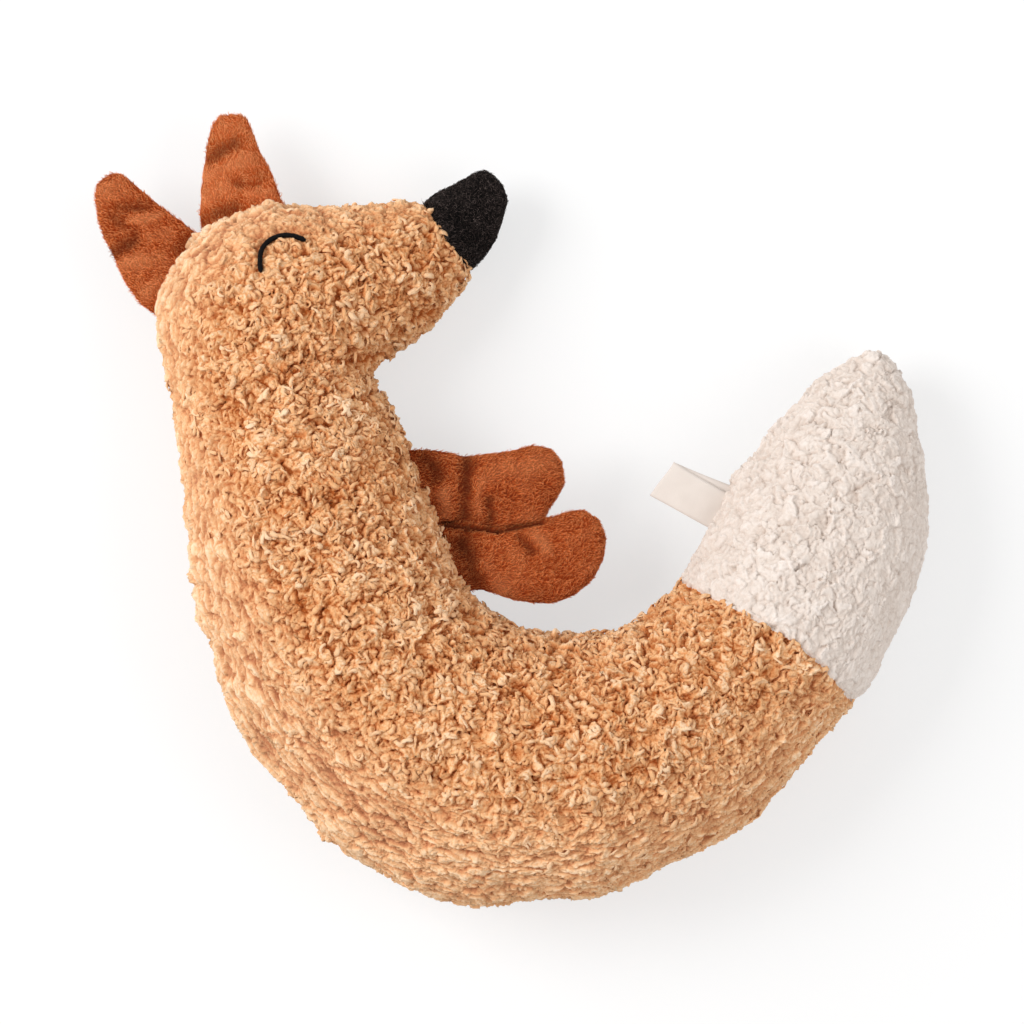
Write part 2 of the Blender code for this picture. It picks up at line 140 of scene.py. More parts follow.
def eased(share):
    """A share from 0 to 1 that starts and ends gently."""
    return share * share * (3 - 2 * share)


def bell(distance, width):
    """1 at no distance, and less and less the farther it is in widths."""
    return np.exp(-(distance / width) ** 2)


def numbered_tree(places, numbers):
    """A tree that finds the nearest of many places and gives its number."""
    tree = KDTree(len(places))
    for place, number in zip(places, numbers):
        tree.insert(place, number)
    tree.balance()
    return tree


# %% [markdown]
# ## The camera
#
# The toy was photographed straight from above. A long lens far away keeps the sides of the
# body from leaning outward. One pixel of the picture is 0.42 mm on the toy, and that scale
# ties every place that is read off the picture to a place on the model.

# %% Camera and picture scale
picture_pixels = 1024
pixel_size = 0.00042
origin_pixel = (509.2, 507.7)
camera_height = 2.5
measuring_height = 0.04
sensor_width = 36.0
millimetre = 0.001
half_picture = picture_pixels / 2
middle = Vector((half_picture - origin_pixel[0], origin_pixel[1] - half_picture)) * pixel_size


def pixel_reach(height):
    """How far apart two neighbouring pixels are on the model, at this height over the floor."""
    return pixel_size * (camera_height - height) / (camera_height - measuring_height)


def spot(across, down, height=measuring_height):
    """The place (x, y) on the model, at this height, that lies under a pixel of the picture."""
    return middle + Vector((across - half_picture, half_picture - down)) * pixel_reach(height)


def seen(places):
    """The pixels at which the camera sees places, as an array (place, 2)."""
    away = (places[:, :2] - np.array(middle)) / pixel_reach(places[:, 2])[:, None]
    return half_picture + away * (1, -1)


camera_data = bpy.data.cameras.new("camera")
camera_data.sensor_width = sensor_width
camera_data.lens = sensor_width * (camera_height - measuring_height) / (picture_pixels * pixel_size)
camera = linked("camera", camera_data)
camera.location = (middle.x, middle.y, camera_height)
bpy.context.scene.camera = camera
print(f"lens {camera_data.lens:.1f} mm, {picture_pixels * pixel_size * 1000:.0f} mm across the picture")

# %% [markdown]
# ## The stuffed skin
#
# A real toy is two cloth panels sewn together and filled. Here the solids of all lengths of
# the body are laid over each other, and a voxel remesh melts them into one closed surface.
# Smoothing then rounds the places where the lengths met. The surface is drawn in by the
# depth of the pile, so that the tips of the curls end up where the solid model ends.

# %% One skin from the solids
body_lengths = ("head", "neck", "chest", "belly", "tail_root", "tail", "tail_tip")
layers = ("upper_panel", "lower_panel")
skin_voxel = 0.0019
skin_smoothing = 13
pile_depth = 0.0015


def applied(holder):
    """The mesh of an object with its modifiers applied; the object itself is removed."""
    shaped = holder.evaluated_get(bpy.context.evaluated_depsgraph_get())
    mesh = bpy.data.meshes.new_from_object(shaped)
    bpy.data.objects.remove(holder)
    return mesh


def melted(name, nodes, voxel, smoothing):
    """One closed smooth mesh that wraps copies of these solids."""
    joined = bmesh.new()
    for node in nodes:
        joined.from_mesh(frame["nodes"][node].data)
    bmesh.ops.remove_doubles(joined, verts=joined.verts, dist=1e-6)
    rough = bpy.data.meshes.new(name + "_rough")
    joined.to_mesh(rough)
    joined.free()
    holder = linked(name + "_rough", rough)
    remesh = holder.modifiers.new("remesh", "REMESH")
    remesh.mode = "VOXEL"
    remesh.voxel_size = voxel
    smooth = holder.modifiers.new("smooth", "SMOOTH")
    smooth.factor = 0.5
    smooth.iterations = smoothing
    mesh = applied(holder)
    mesh.name = name
    mesh.shade_smooth()
    return mesh


def drawn_in(mesh, depth):
    """Moves every point of a mesh inward by this depth."""
    places, normals = points_of(mesh)
    moved_to(mesh, places - normals * depth)


def nodes_of(lengths, kinds):
    """The names of the CAD nodes of these lengths."""
    return [f"{length}_{kind}" for length in lengths for kind in kinds]


def pulled(mesh, root, shift, near, far):
    """Slides the points of a mesh near a place; beyond far nothing moves."""
    places, _ = points_of(mesh)
    away = np.linalg.norm(places - root, axis=1)
    share = np.clip((far - away) / (far - near), 0, 1)[:, None]
    moved_to(mesh, places + eased(share) * shift)


def nudged(mesh, nudges):
    """Moves the outline of a piece: each nudge pulls the part near one pixel to another."""
    places, _ = points_of(mesh)
    pixels = seen(places)
    moved = places.copy()
    for from_pixel, to_pixel, reach in nudges:
        share = bell(np.linalg.norm(pixels - from_pixel, axis=1), reach)
        moved[:, :2] += share[:, None] * np.array(spot(*to_pixel) - spot(*from_pixel))
    moved_to(mesh, moved)


body_nudges = (
    ((914, 430), (918, 429), 60), ((922, 520), (926, 520), 60), ((908, 605), (912, 607), 60),
    ((877, 362), (880, 358), 30), ((454, 895), (454, 900), 46), ((289, 797), (291, 795), 50),
    ((400, 207), (400, 204), 42), ((434, 526), (437, 525), 42), ((180, 480), (183, 480), 60),
    ((272, 211), (272, 206), 34), ((165, 296), (161, 297), 34), ((636, 612), (638, 616), 24),
    ((688, 575), (682, 571), 22), ((169, 420), (171, 420), 40), ((385, 378), (381, 378), 22),
    ((185, 541), (188, 541), 36), ((159, 361), (161, 361), 24), ((326, 836), (324, 839), 26),
    ((203, 649), (207, 648), 28), ((190, 586), (194, 586), 24), ((660, 870), (659, 867), 30),
    ((868, 678), (872, 680), 22), ((752, 816), (754, 820), 26), ((905, 394), (909, 393), 22),
    ((294, 200), (294, 204), 15), ((546, 902), (546, 899), 26), ((512, 620), (512, 621.5), 18),
    ((816, 383), (813, 380), 16), ((735, 478), (731, 475), 16),
)
skin = melted("body_skin", nodes_of(body_lengths, (*layers, "filling")), skin_voxel, skin_smoothing)
drawn_in(skin, pile_depth)
nudged(skin, body_nudges)
nose_base, nose_tip = spot(443, 240), spot(503, 193)
nose_root = np.array((*nose_base, measuring_height))
nose_outward = np.array((*(nose_tip - nose_base).normalized(), 0.0))
muzzle_overlap = 0.0028
pulled(skin, nose_root, nose_outward * muzzle_overlap, near=0.014, far=0.034)
print("skin:", len(skin.vertices), "points")

# %% [markdown]
# ## Where fibres grow
#
# Fibres that were scattered blindly would leave bald spots and heaps. Throwing darts is an
# old cure: a new fibre is kept only if no earlier one is too near.

# %% Scatter points over a mesh
cells_around = list(itertools.product((-1, 0, 1), repeat=3))
tries_per_place = 5.0


def scattered(mesh, spacing, rng):
    """Points on a mesh, no two nearer than spacing, and the mesh's normals there."""
    places, normals = points_of(mesh)
    mesh.calc_loop_triangles()
    corners = np.array([triangle.vertices for triangle in mesh.loop_triangles])
    a, b, c = (places[corners[:, k]] for k in range(3))
    areas = np.linalg.norm(np.cross(b - a, c - a), axis=1) / 2
    tries = int(areas.sum() / spacing ** 2 * tries_per_place)
    chosen = rng.choice(len(corners), tries, p=areas / areas.sum())
    u, v = rng.random(tries), rng.random(tries)
    flip = u + v > 1
    u[flip], v[flip] = 1 - u[flip], 1 - v[flip]
    weights = np.stack((1 - u - v, u, v), axis=1)[:, :, None]
    spots = (places[corners[chosen]] * weights).sum(axis=1)
    facing = unit((normals[corners[chosen]] * weights).sum(axis=1))
    kept, cells = [], {}
    for number, (i, j, k) in enumerate(np.floor(spots / spacing).astype(int).tolist()):
        near = [cells.get((i + x, j + y, k + z), ()) for x, y, z in cells_around]
        near = list(itertools.chain(*near))
        if not near or np.square(spots[near] - spots[number]).sum(axis=1).min() >= spacing ** 2:
            cells.setdefault((i, j, k), []).append(number)
            kept.append(number)
    return spots[kept], facing[kept]


# %% [markdown]
# ## Which way the body runs
#
# The crescent has a middle line from the nose round the belly to the tip of the tail. A few
# listed pixels of the picture are enough for it. Any place on the body takes the
# direction of the nearest stretch of that line.

# %% The middle line of the crescent
middle_line = [spot(*pixel) for pixel in (
    (455, 235), (350, 262), (262, 290), (232, 360), (262, 470), (300, 570), (350, 665),
    (440, 745), (540, 775), (640, 755), (720, 700), (790, 620), (830, 520), (870, 365),
)]


def nearest_on_line(places, line):
    """For each place: the line's direction there, how far along it is, and how far to its left."""
    best = np.full(len(places), np.inf)
    heading = np.zeros((len(places), 3))
    along, beside = np.zeros(len(places)), np.zeros(len(places))
    flat = places[:, :2]
    passed = 0.0
    for first, second in zip(line[:-1], line[1:]):
        start, run = np.array(first), np.array(second - first)
        stretch = np.linalg.norm(run)
        way = run / stretch
        share = np.clip(((flat - start) @ way) / stretch, 0, 1)
        away = flat - (start + share[:, None] * run)
        distance = np.linalg.norm(away, axis=1)
        closer = distance < best
        best[closer] = distance[closer]
        heading[closer] = (*way, 0.0)
        along[closer] = (passed + share * stretch)[closer]
        beside[closer] = (away @ np.array((way[1], -way[0])))[closer]
        passed += stretch
    return heading, along, beside


print("middle line:", len(middle_line), "points")

# %% [markdown]
# ## One strand
#
# A loose loop of yarn, a fibre of the plush and a stitch of the eye are the same thing to a
# modeller: a thin closed tube along a short path. So one function makes them all. It takes
# the paths of thousands of strands as one array, finds the sideways and upward directions
# along each, and sets an oval ring on every path point and a tip on both ends.

# %% Tubes along many short paths
def strands(paths, above, widths, heights, sides):
    """The points of closed oval tubes along paths, an array (strand, point, 3)."""
    travel = unit(np.gradient(paths, axis=1))
    aside = unit(np.cross(travel, above[:, None, :]))
    tall = np.cross(aside, travel)
    angles = np.arange(sides) * math.tau / sides
    wide_part = aside[:, :, None, :] * np.cos(angles)[:, None] * widths[:, :, None, None]
    tall_part = tall[:, :, None, :] * np.sin(angles)[:, None] * heights[:, :, None, None]
    rings = paths[:, :, None, :] + wide_part + tall_part
    first = paths[:, 0] - travel[:, 0] * widths[:, 0, None] / 2
    last = paths[:, -1] + travel[:, -1] * widths[:, -1, None] / 2
    return np.concatenate((rings.reshape(len(paths), -1, 3), first[:, None], last[:, None]), axis=1)


def strand_faces(count, rings, sides, first_point=0):
    """The faces of that many tubes, whose points follow first_point other points."""
    faces = []
    last_ring = (rings - 1) * sides
    first_tip, last_tip = rings * sides, rings * sides + 1
    for k in range(sides):
        after = (k + 1) % sides
        for ring in range(0, last_ring, sides):
            faces.append((ring + k, ring + k + sides, ring + after + sides, ring + after))
        faces.append((k, after, first_tip))
        faces.append((last_ring + after, last_ring + k, last_tip))
    starts = range(first_point, first_point + count * (rings * sides + 2), rings * sides + 2)
    return [tuple(p + start for p in face) for start in starts for face in faces]


def ring_values(values, sides):
    """Spreads values (strand, ring) over the points of the strands."""
    spread = np.repeat(values, sides, axis=1)
    return np.concatenate((spread, values[:, :1], values[:, -1:]), axis=1)


# %% [markdown]
# ## Curved fibres on a surface
#
# A fibre leaves the cloth, arches over it and bends to one side. Its heading is a direction
# along the surface. How far the arch goes decides the kind: a whole arch comes back down as a
# loop, and a part of one is a fibre that leans over and stays up.

# %% Paths of curved fibres
def headings_on(facing, toward, turn):
    """Directions along a surface: the one nearest to toward, turned by an angle at each place."""
    across = np.cross(facing, toward)
    across /= np.maximum(np.linalg.norm(across, axis=1), 1e-9)[:, None]
    forward = np.cross(across, facing)
    return forward * np.cos(turn)[:, None] + across * np.sin(turn)[:, None]


def curved_paths(spots, facing, heading, length, bend, low, lift, arch, rings):
    """One path per spot, an array (spot, ring, 3); bend and arch are angles along the path."""
    share = np.linspace(0, 1, rings)
    turned = bend[:, None] * (share[:-1] + share[1:] - 1) / 2
    step = (length / (rings - 1))[:, None]
    start = np.zeros((len(spots), 1))
    ahead_run = np.concatenate((start, np.cumsum(np.cos(turned) * step, axis=1)), axis=1)
    aside_run = np.concatenate((start, np.cumsum(np.sin(turned) * step, axis=1)), axis=1)
    up_run = low[:, None] + lift[:, None] * np.sin(arch * share)
    parts = ((heading, ahead_run), (np.cross(facing, heading), aside_run), (facing, up_run))
    return spots[:, None, :] + sum(way[:, None, :] * run[:, :, None] for way, run in parts)


# %% [markdown]
# ## Strokes on the picture
#
# Creases, dents and the eye lie at places that are easiest to read off the picture. A stroke
# is a straight stretch between two pixels. How far a place is from a stroke tells how much
# it belongs to the crease.

# %% How far a place is from a stroke
def on_stroke(places, first, second, width):
    """How much each place belongs to a stroke between two pixels: 1 on it, 0 far from it."""
    start, run = np.array(first, float), np.array(second, float) - first
    away = seen(places) - start
    share = np.clip((away @ run) / (run @ run), 0, 1)
    return bell(np.linalg.norm(away - share[:, None] * run, axis=1), width)


def smooth_line(points, count):
    """Points on a smooth curve through a few points, with even steps of its parameter."""
    given = [np.array(p, float) for p in points]
    given = [2 * given[0] - given[1], *given, 2 * given[-1] - given[-2]]
    line = []
    for at in np.linspace(0, len(points) - 1, count):
        k = min(int(at), len(points) - 2)
        t = at - k
        a, b, c, d = given[k:k + 4]
        line.append(0.5 * (2 * b + (c - a) * t + (2 * a - 5 * b + 4 * c - d) * t ** 2
                           + (3 * b - a - 3 * c + d) * t ** 3))
    return np.array(line)


eye_pixels = ((260.2, 271), (259, 260), (260.6, 248), (267.5, 239), (278, 234), (290, 233.6), (304, 238.2))
eye_line = smooth_line(eye_pixels, count=14)
print(f"the eye's arc spans {eye_pixels[-1][0] - eye_pixels[0][0]} pixels")

# %% [markdown]
# ## Crumpled yarn
#
# The pile is made of short loops of fluffy yarn that have matted together into small folded
# flakes. Cell noise gives such a pattern: space is divided among random points, and each
# point's cell becomes one flake, a small plate that leans its own way. The borders between
# cells become creases. Before that the places are stirred with smooth noise, so the flakes
# come out bent and hooked into each other. Smaller folds lie on top, and the creases of a
# third noise run across both.

# %% Noise on a lattice
lattice_size = 32
own_number_shift = 17
lattice = np.random.default_rng(3).random((lattice_size ** 3, 3), np.float32)
corners_of_cube = list(itertools.product((0, 1), repeat=3))


def on_lattice(cells):
    """Three random numbers for each cell of a grid that repeats after 32 cells."""
    across, along, up = (cells % lattice_size).T
    return lattice[(across * lattice_size + along) * lattice_size + up]


def stirring(places, size, shift):
    """A smooth random direction at each place, each part -1 to 1, that changes over size."""
    at = (places / size + shift).astype(np.float32)
    cell = np.floor(at).astype(np.int32)
    share = eased(at - cell.astype(np.float32))
    total = np.zeros_like(at)
    for corner in corners_of_cube:
        weight = np.prod(np.where(corner, share, 1 - share), axis=1)
        total += weight[:, None] * on_lattice(cell + corner)
    return total * 2 - 1


def flakes(places, size, shift):
    """The cell of each place: how far its border is, the way from its middle, its own numbers."""
    at = (places / size + shift).astype(np.float32)
    base = np.floor(at).astype(np.int32)
    nearest, second = np.full((2, len(at)), np.inf, np.float32)
    found = base.copy()
    for step in cells_around:
        cell = base + np.array(step, np.int32)
        away = at - cell.astype(np.float32) - on_lattice(cell)
        distance = np.einsum("ij,ij->i", away, away)
        closer = distance < nearest
        second = np.where(closer, nearest, np.minimum(second, distance))
        nearest = np.where(closer, distance, nearest)
        found[closer] = cell[closer]
    from_middle = at - found.astype(np.float32) - on_lattice(found)
    return np.sqrt(second) - np.sqrt(nearest), from_middle, on_lattice(found + own_number_shift)


# %% How high the crumpled pile stands
tan_relief = 1.15
far_stir, far_size = 2.7, 4.6
near_stir, near_size = 0.95, 1.9
fold_stir, furrow_stir = 0.6, 1.3
flake_size, flake_crown, flake_step, flake_lean, flake_crease = 4.5, 0.5, 0.7, 1.7, 0.12
fold_size, fold_crown, fold_step, fold_lean, fold_crease = 1.9, 0.3, 0.3, 0.7, 0.14
furrow_size, furrow_depth, furrow_width = 4.0, 1.7, 0.10
clump_size, clump_height = 12.0, 0.6
# How much the fold lines and furrows count as creases, which get painted shade.
fold_shade, furrow_shade = 0.5, 0.8


def plates(places, size, crown, step, lean, crease, shift):
    """Heights of tilted plates, how much each place is a crease, and each plate's own tone."""
    border, from_middle, own = flakes(places, size, shift)
    inside = 1 - bell(border, crease)
    leaning = ((own[:, [1, 2, 0]] * 2 - 1) * from_middle).sum(axis=1)
    return crown * inside + step * (own[:, 0] * 2 - 1) + lean * leaning, 1 - inside, own[:, 1]


def crumpled(places, tilt=1.0):
    """Height, crease and tone of the matted yarn at each place; everything in millimetres."""
    stir = far_stir * stirring(places, far_size, shift=3.3)
    stir = stir + near_stir * stirring(places, near_size, shift=7.7)
    height, crease, tone = plates(places + stir, flake_size, flake_crown, flake_step * tilt,
                                  flake_lean * tilt, flake_crease, shift=1.7)
    less_stirred = places + fold_stir * stir
    less_stirred = less_stirred + near_stir * stirring(places, near_size * fold_stir, shift=1.7)
    folds, fold_lines, _ = plates(less_stirred, fold_size, fold_crown, fold_step * tilt,
                                  fold_lean * tilt, fold_crease, shift=5.1)
    ridge = np.abs(stirring(places + furrow_stir * stir, furrow_size, shift=2.1)[:, 0])
    furrow = bell(ridge, furrow_width)
    clumps = stirring(places, clump_size, shift=0.4)[:, 0]
    height += folds + furrow_depth * np.sqrt(ridge) + clump_height * clumps
    return height, np.max((crease, fold_shade * fold_lines, furrow_shade * furrow), axis=0), tone


# %% [markdown]
# ## The pile on the body
#
# The pile is raised on the whole skin at once, so that it runs on unbroken over the seams.
# Along the back it has been stroked flat: there the flakes are drawn out along the body into
# long ridges with narrow creases between them. The skin is divided much finer first, to about
# the size of one pixel of the picture. Numbers that were stored on its points and faces come
# through that division, so they are worked out on the coarse skin, where it is quick.

# %% Which way the pile lies, and which panel it belongs to
back_edge, back_width, back_offset = 0.006, 0.028, 0.032
full_worn_share, least_worn = 1.25, 0.15
line_steps = 120
ridge_stretch = 3.0
ridge_fineness = 1.2
panels = nodes_of(body_lengths, layers)
panel_points = [(v.co, number) for number, node in enumerate(panels)
                for v in frame["nodes"][node].data.vertices]
panel_tree = numbered_tree(*zip(*panel_points))


def owners(places):
    """For each place, the number in panels of the nearest one."""
    return np.array([panel_tree.find(Vector(place))[1] for place in places])


def line_beside(line, offset):
    """A line that keeps this distance to the left of another one."""
    shifted = []
    for before, here, after in zip(line[:-2], line[1:-1], line[2:]):
        run = (after - before).normalized()
        shifted.append(here + Vector((run.y, -run.x)) * offset)
    return shifted


fine_line = [Vector(point) for point in smooth_line(middle_line, line_steps)]
skin_places, _ = points_of(skin)
_, along, beside = nearest_on_line(skin_places, fine_line)
_, along_back, _ = nearest_on_line(skin_places, line_beside(fine_line, back_offset))
body_length = sum((b - a).length for a, b in zip(fine_line[:-1], fine_line[1:]))
fading = np.clip(full_worn_share - along / body_length, least_worn, 1)
point_values(skin, "along", along_back)
point_values(skin, "beside", beside)
point_values(skin, "worn", np.clip((beside - back_edge) / back_width, 0, 1) * fading)
face_owner = owners([face.center for face in skin.polygons])
skin.attributes.new("panel", "INT", "FACE").data.foreach_set("value", face_owner)
print("body:", round(body_length * 1000), "mm long, skin:", len(skin.polygons), "faces")


# %% Divide the skin finer
def divided(mesh, levels):
    """A copy of a mesh whose faces were each divided into four, this many times over."""
    holder = linked(mesh.name + "_coarse", mesh)
    finer = holder.modifiers.new("divide", "SUBSURF")
    finer.levels = levels
    finer.quality = 1
    finer.use_limit_surface = False
    return applied(holder)


def stored_values(mesh, name, kind=np.float32):
    """The numbers of this name that are stored on a mesh."""
    layer = mesh.attributes[name].data
    values = np.zeros(len(layer), kind)
    layer.foreach_get("value", values)
    return values


fine = divided(skin, levels=2)
fine_places, fine_normals = points_of(fine)
fine_faces = np.zeros(len(fine.polygons) * 4, np.int32)
fine.loops.foreach_get("vertex_index", fine_faces)
fine_faces = fine_faces.reshape(-1, 4)
fine_owner = stored_values(fine, "panel", np.int32)
flatness = stored_values(fine, "worn")
print("fine skin:", len(fine_places), "points")

# %% The seam between tan and cream
seam_line = [Vector(pixel) for pixel in (
    (660, 570), (681, 582), (720, 602), (760, 622), (791, 640), (815, 660), (834, 681), (848, 698),
    (862, 716),
)]
seam_unevenness, seam_wave = 1.6, 2.5
seam_width, seam_depth = 2.6, 0.9


def into_cream(places):
    """How many pixels each place lies beyond the seam, on the cream side."""
    _, _, beyond = nearest_on_line(seen(places), seam_line)
    return beyond


tail_first, tip_first = panels.index("tail_upper_panel"), panels.index("tail_tip_upper_panel")
near_seam = np.flatnonzero(fine_owner >= tail_first)
centres = fine_places[fine_faces[near_seam]].mean(axis=1)
uneven = stirring(centres / millimetre, seam_wave, shift=9.1)[:, 0]
beyond = into_cream(centres) + seam_unevenness * uneven
fine_owner[near_seam] = np.where(beyond > 0, tip_first, tail_first) + fine_owner[near_seam] % 2
point_owner = np.zeros(len(fine_places), np.int32)
point_owner[fine_faces.ravel()] = np.repeat(fine_owner, 4)
print("faces on the cream tip:", int((fine_owner >= tip_first).sum()))

# %% Raise the pile
ground_clearance = 0.0001
cream_relief = 0.58
# cream_crease and back_crease scale the painted shade in the creases of the cream tip and of the stroked
# back.
cream_crease = 0.6
back_relief, back_tilt, back_crease = 1.8, 0.5, 1.6
pile_lift = 0.7
least_flatness = 0.01
darkest_rise, palest_rise, crease_shade = 0.28, 0.78, 0.42
flank_fade = 3
eye_crease_width, eye_crease_depth = 5.6, 1.5
pile_creases = (
    ((231, 440), (233, 508), 4, 1.1), ((268, 486), (267, 508), 4, 1.3),
    ((300, 592), (306, 640), 4, 1.2), ((250, 588), (253, 606), 4, 1.0),
    ((247, 308), (256, 338), 4, 0.9), ((302, 357), (350, 362), 4, 1.2),
    ((350, 362), (382, 354), 4, 1.5), ((236, 640), (262, 690), 4, 0.9),
    ((205, 560), (212, 600), 3, 0.8), ((442, 847), (509, 857), 2.6, 1.6),
    ((535, 858), (589, 848), 2.6, 1.6), ((375, 813), (429, 842), 2.6, 1.2),
)
high, crease, tone = crumpled(fine_places / millimetre)
lying = flatness > least_flatness
drawn_out = np.stack((
    stored_values(fine, "along") / ridge_stretch, stored_values(fine, "beside"), fine_places[:, 2]), axis=1)
ridges, ridge_creases, _ = crumpled(drawn_out[lying] / millimetre * ridge_fineness, back_tilt)
high[lying] += (ridges * back_relief - high[lying]) * flatness[lying]
crease[lying] += (ridge_creases * back_crease - crease[lying]) * flatness[lying]
lowest, highest = np.percentile(high, (2, 98))
rise = (high - lowest) / (highest - lowest)
high -= np.mean(high)
creamy = point_owner >= tip_first
high *= np.where(creamy, cream_relief, tan_relief)
crease[creamy] *= cream_crease
on_top = np.clip(fine_normals[:, 2] * flank_fade, 0, 1)
on_sides = np.clip(np.abs(fine_normals[:, 2]) * flank_fade, 0, 1)
pressed_in = np.zeros(len(fine_places))
for first, second, width, depth in pile_creases:
    pressed_in += depth * on_top * on_stroke(fine_places, first, second, width)
eye_strokes = zip(eye_line[:-1], eye_line[1:])
on_eye = np.max([on_stroke(fine_places, *ends, eye_crease_width) for ends in eye_strokes], axis=0)
pressed_in += eye_crease_depth * on_sides * on_eye
pressed_in += seam_depth * bell(into_cream(fine_places), seam_width)
high += pile_lift - pressed_in
# The pressed creases, the crease beside the eye and the seam also lower the colour level: painted shade.
rise -= pressed_in / (highest - lowest)
# The colour ramp reads this level: the low places of the pile get painted shade, and creases a painted shade
# of their own.
rise = darkest_rise + (palest_rise - darkest_rise) * rise - crease_shade * crease
raised = fine_places + fine_normals * high[:, None] * millimetre
raised[:, 2] = np.maximum(raised[:, 2], ground_clearance)
print("the pile's low, middle and high places:", *np.percentile(high, (2, 50, 98)).round(2), "mm")

# %% [markdown]
# ## Loose loops
#
# Here and there a loop of yarn stands clear of the matted pile. A displaced surface can't
# overhang, so these loops are tubes of their own. They grow on the higher places only, not on
# the stroked back, not on the smoother cream tip and not over the eye. Each takes its tone
# from the place where it grows, and painted shade darkens it towards its roots.

# %% Loose loops of yarn
loop_count = 4600
loop_rings, loop_sides, loop_roughness = 5, 5, 0.10
lowest_root, stroked_off, off_eye = 0.4, 1.3, 0.15
loop_length, loop_lift, loop_width = (2.6, 5.2), (0.4, 1.1), (0.6, 1.3)
loop_bend, loop_lean, loop_root, loop_thinness = 1.9, 0.45, -0.5, 0.42
loop_wander, wander_lost, lift_lost = 1.6, 1.3, 0.5
loop_unevenness = (0.7, 1.15)
# Each loop's colour level along it: painted shade towards both roots.
loop_root_shades = np.array((-0.16, -0.05, 0.01, -0.03, -0.10))
rng = np.random.default_rng(11)
chance = (rise > lowest_root) * np.clip(1 - stroked_off * flatness, 0, 1) * (on_eye < off_eye) * ~creamy
chosen = rng.choice(len(rise), loop_count, replace=False, p=chance / chance.sum())
laid = flatness[chosen]
loop_facing = fine_normals[chosen]
body_way, _, _ = nearest_on_line(raised[chosen], fine_line)
loop_turn = rng.normal(0, 1, loop_count) * (loop_wander - wander_lost * laid)
loop_heading = headings_on(loop_facing, body_way, loop_turn)
loop_above = loop_facing + loop_lean * rng.normal(0, 1, (loop_count, 3))
loops = curved_paths(
    raised[chosen], loop_facing, loop_heading, rng.uniform(*loop_length, loop_count) * millimetre,
    rng.normal(0, loop_bend, loop_count), np.full(loop_count, loop_root * millimetre),
    rng.uniform(*loop_lift, loop_count) * (1 - lift_lost * laid) * millimetre, math.pi, loop_rings)
loop_widths = rng.uniform(*loop_width, loop_count)[:, None] * millimetre
loop_widths = loop_widths * rng.uniform(*loop_unevenness, (loop_count, loop_rings))
loop_shapes = strands(loops, loop_above, loop_widths, loop_widths * loop_thinness, loop_sides)
loop_shapes[:, :-2] += rng.normal(0, loop_roughness, loop_shapes[:, :-2].shape) * millimetre
loop_shapes[:, :, 2] = np.maximum(loop_shapes[:, :, 2], ground_clearance)
loop_rise = ring_values(rise[chosen][:, None] + loop_root_shades, loop_sides)
points_each = loop_shapes.shape[1]
print(loop_count, "loops")

# %% [markdown]
# ## Yarn and fibre as a material
#
# One recipe serves every cloth on the toy, because all of them are fibre. The colour follows
# the height in the pile through a ramp: a deep warm tone between the strands, which is painted
# shade, and paler tips. Each strand or flake has its own shade of colour. Worn places on the
# stroked back are paler, dents of the plush are darkened with painted shade and its swells get a
# painted highlight. Real yarn has no shine of its own but a faint glow at grazing angles, and
# that is what sheen is for.

# %% Helpers for materials
def new_material(name, **sockets):
    """A material whose shader has these values; returns the material, its tree and its shader."""
    material = bpy.data.materials.new(name)
    material.use_nodes = True
    shader = material.node_tree.nodes["Principled BSDF"]
    for socket, value in sockets.items():
        shader.inputs[socket.replace("_", " ")].default_value = value
    return material, material.node_tree, shader


def add_node(tree, kind, inputs, **settings):
    """A new node; each input is given a value, or the output socket that feeds it."""
    node = tree.nodes.new("ShaderNode" + kind)
    for setting, value in settings.items():
        setattr(node, setting, value)
    for socket, value in inputs.items():
        if isinstance(value, bpy.types.NodeSocket):
            tree.links.new(value, node.inputs[socket])
        else:
            node.inputs[socket].default_value = value
    return node


def add_ramp(tree, factor, stops):
    """The colour of a ramp through these stops, each a position and a colour."""
    ramp = add_node(tree, "ValToRGB", {"Fac": factor})
    first, *others, last = stops
    ends = ramp.color_ramp.elements
    ends[0].position, ends[0].color = first
    ends[1].position, ends[1].color = last
    for position, colour in others:
        ramp.color_ramp.elements.new(position).color = colour
    return ramp.outputs["Color"]


def add_bump(tree, height, shader, strength, distance):
    """Lets a pattern raise the surface in the light."""
    bump = add_node(tree, "Bump", {"Height": height, "Strength": strength, "Distance": distance})
    tree.links.new(bump.outputs["Normal"], shader.inputs["Normal"])


# %% The fibre material
fibre_share, worn_share = 0.5, 0.25
deep_stop, low_stop, middle_stop, tip_stop = 0.20, 0.42, 0.70, 1.00
white = (1, 1, 1, 1)


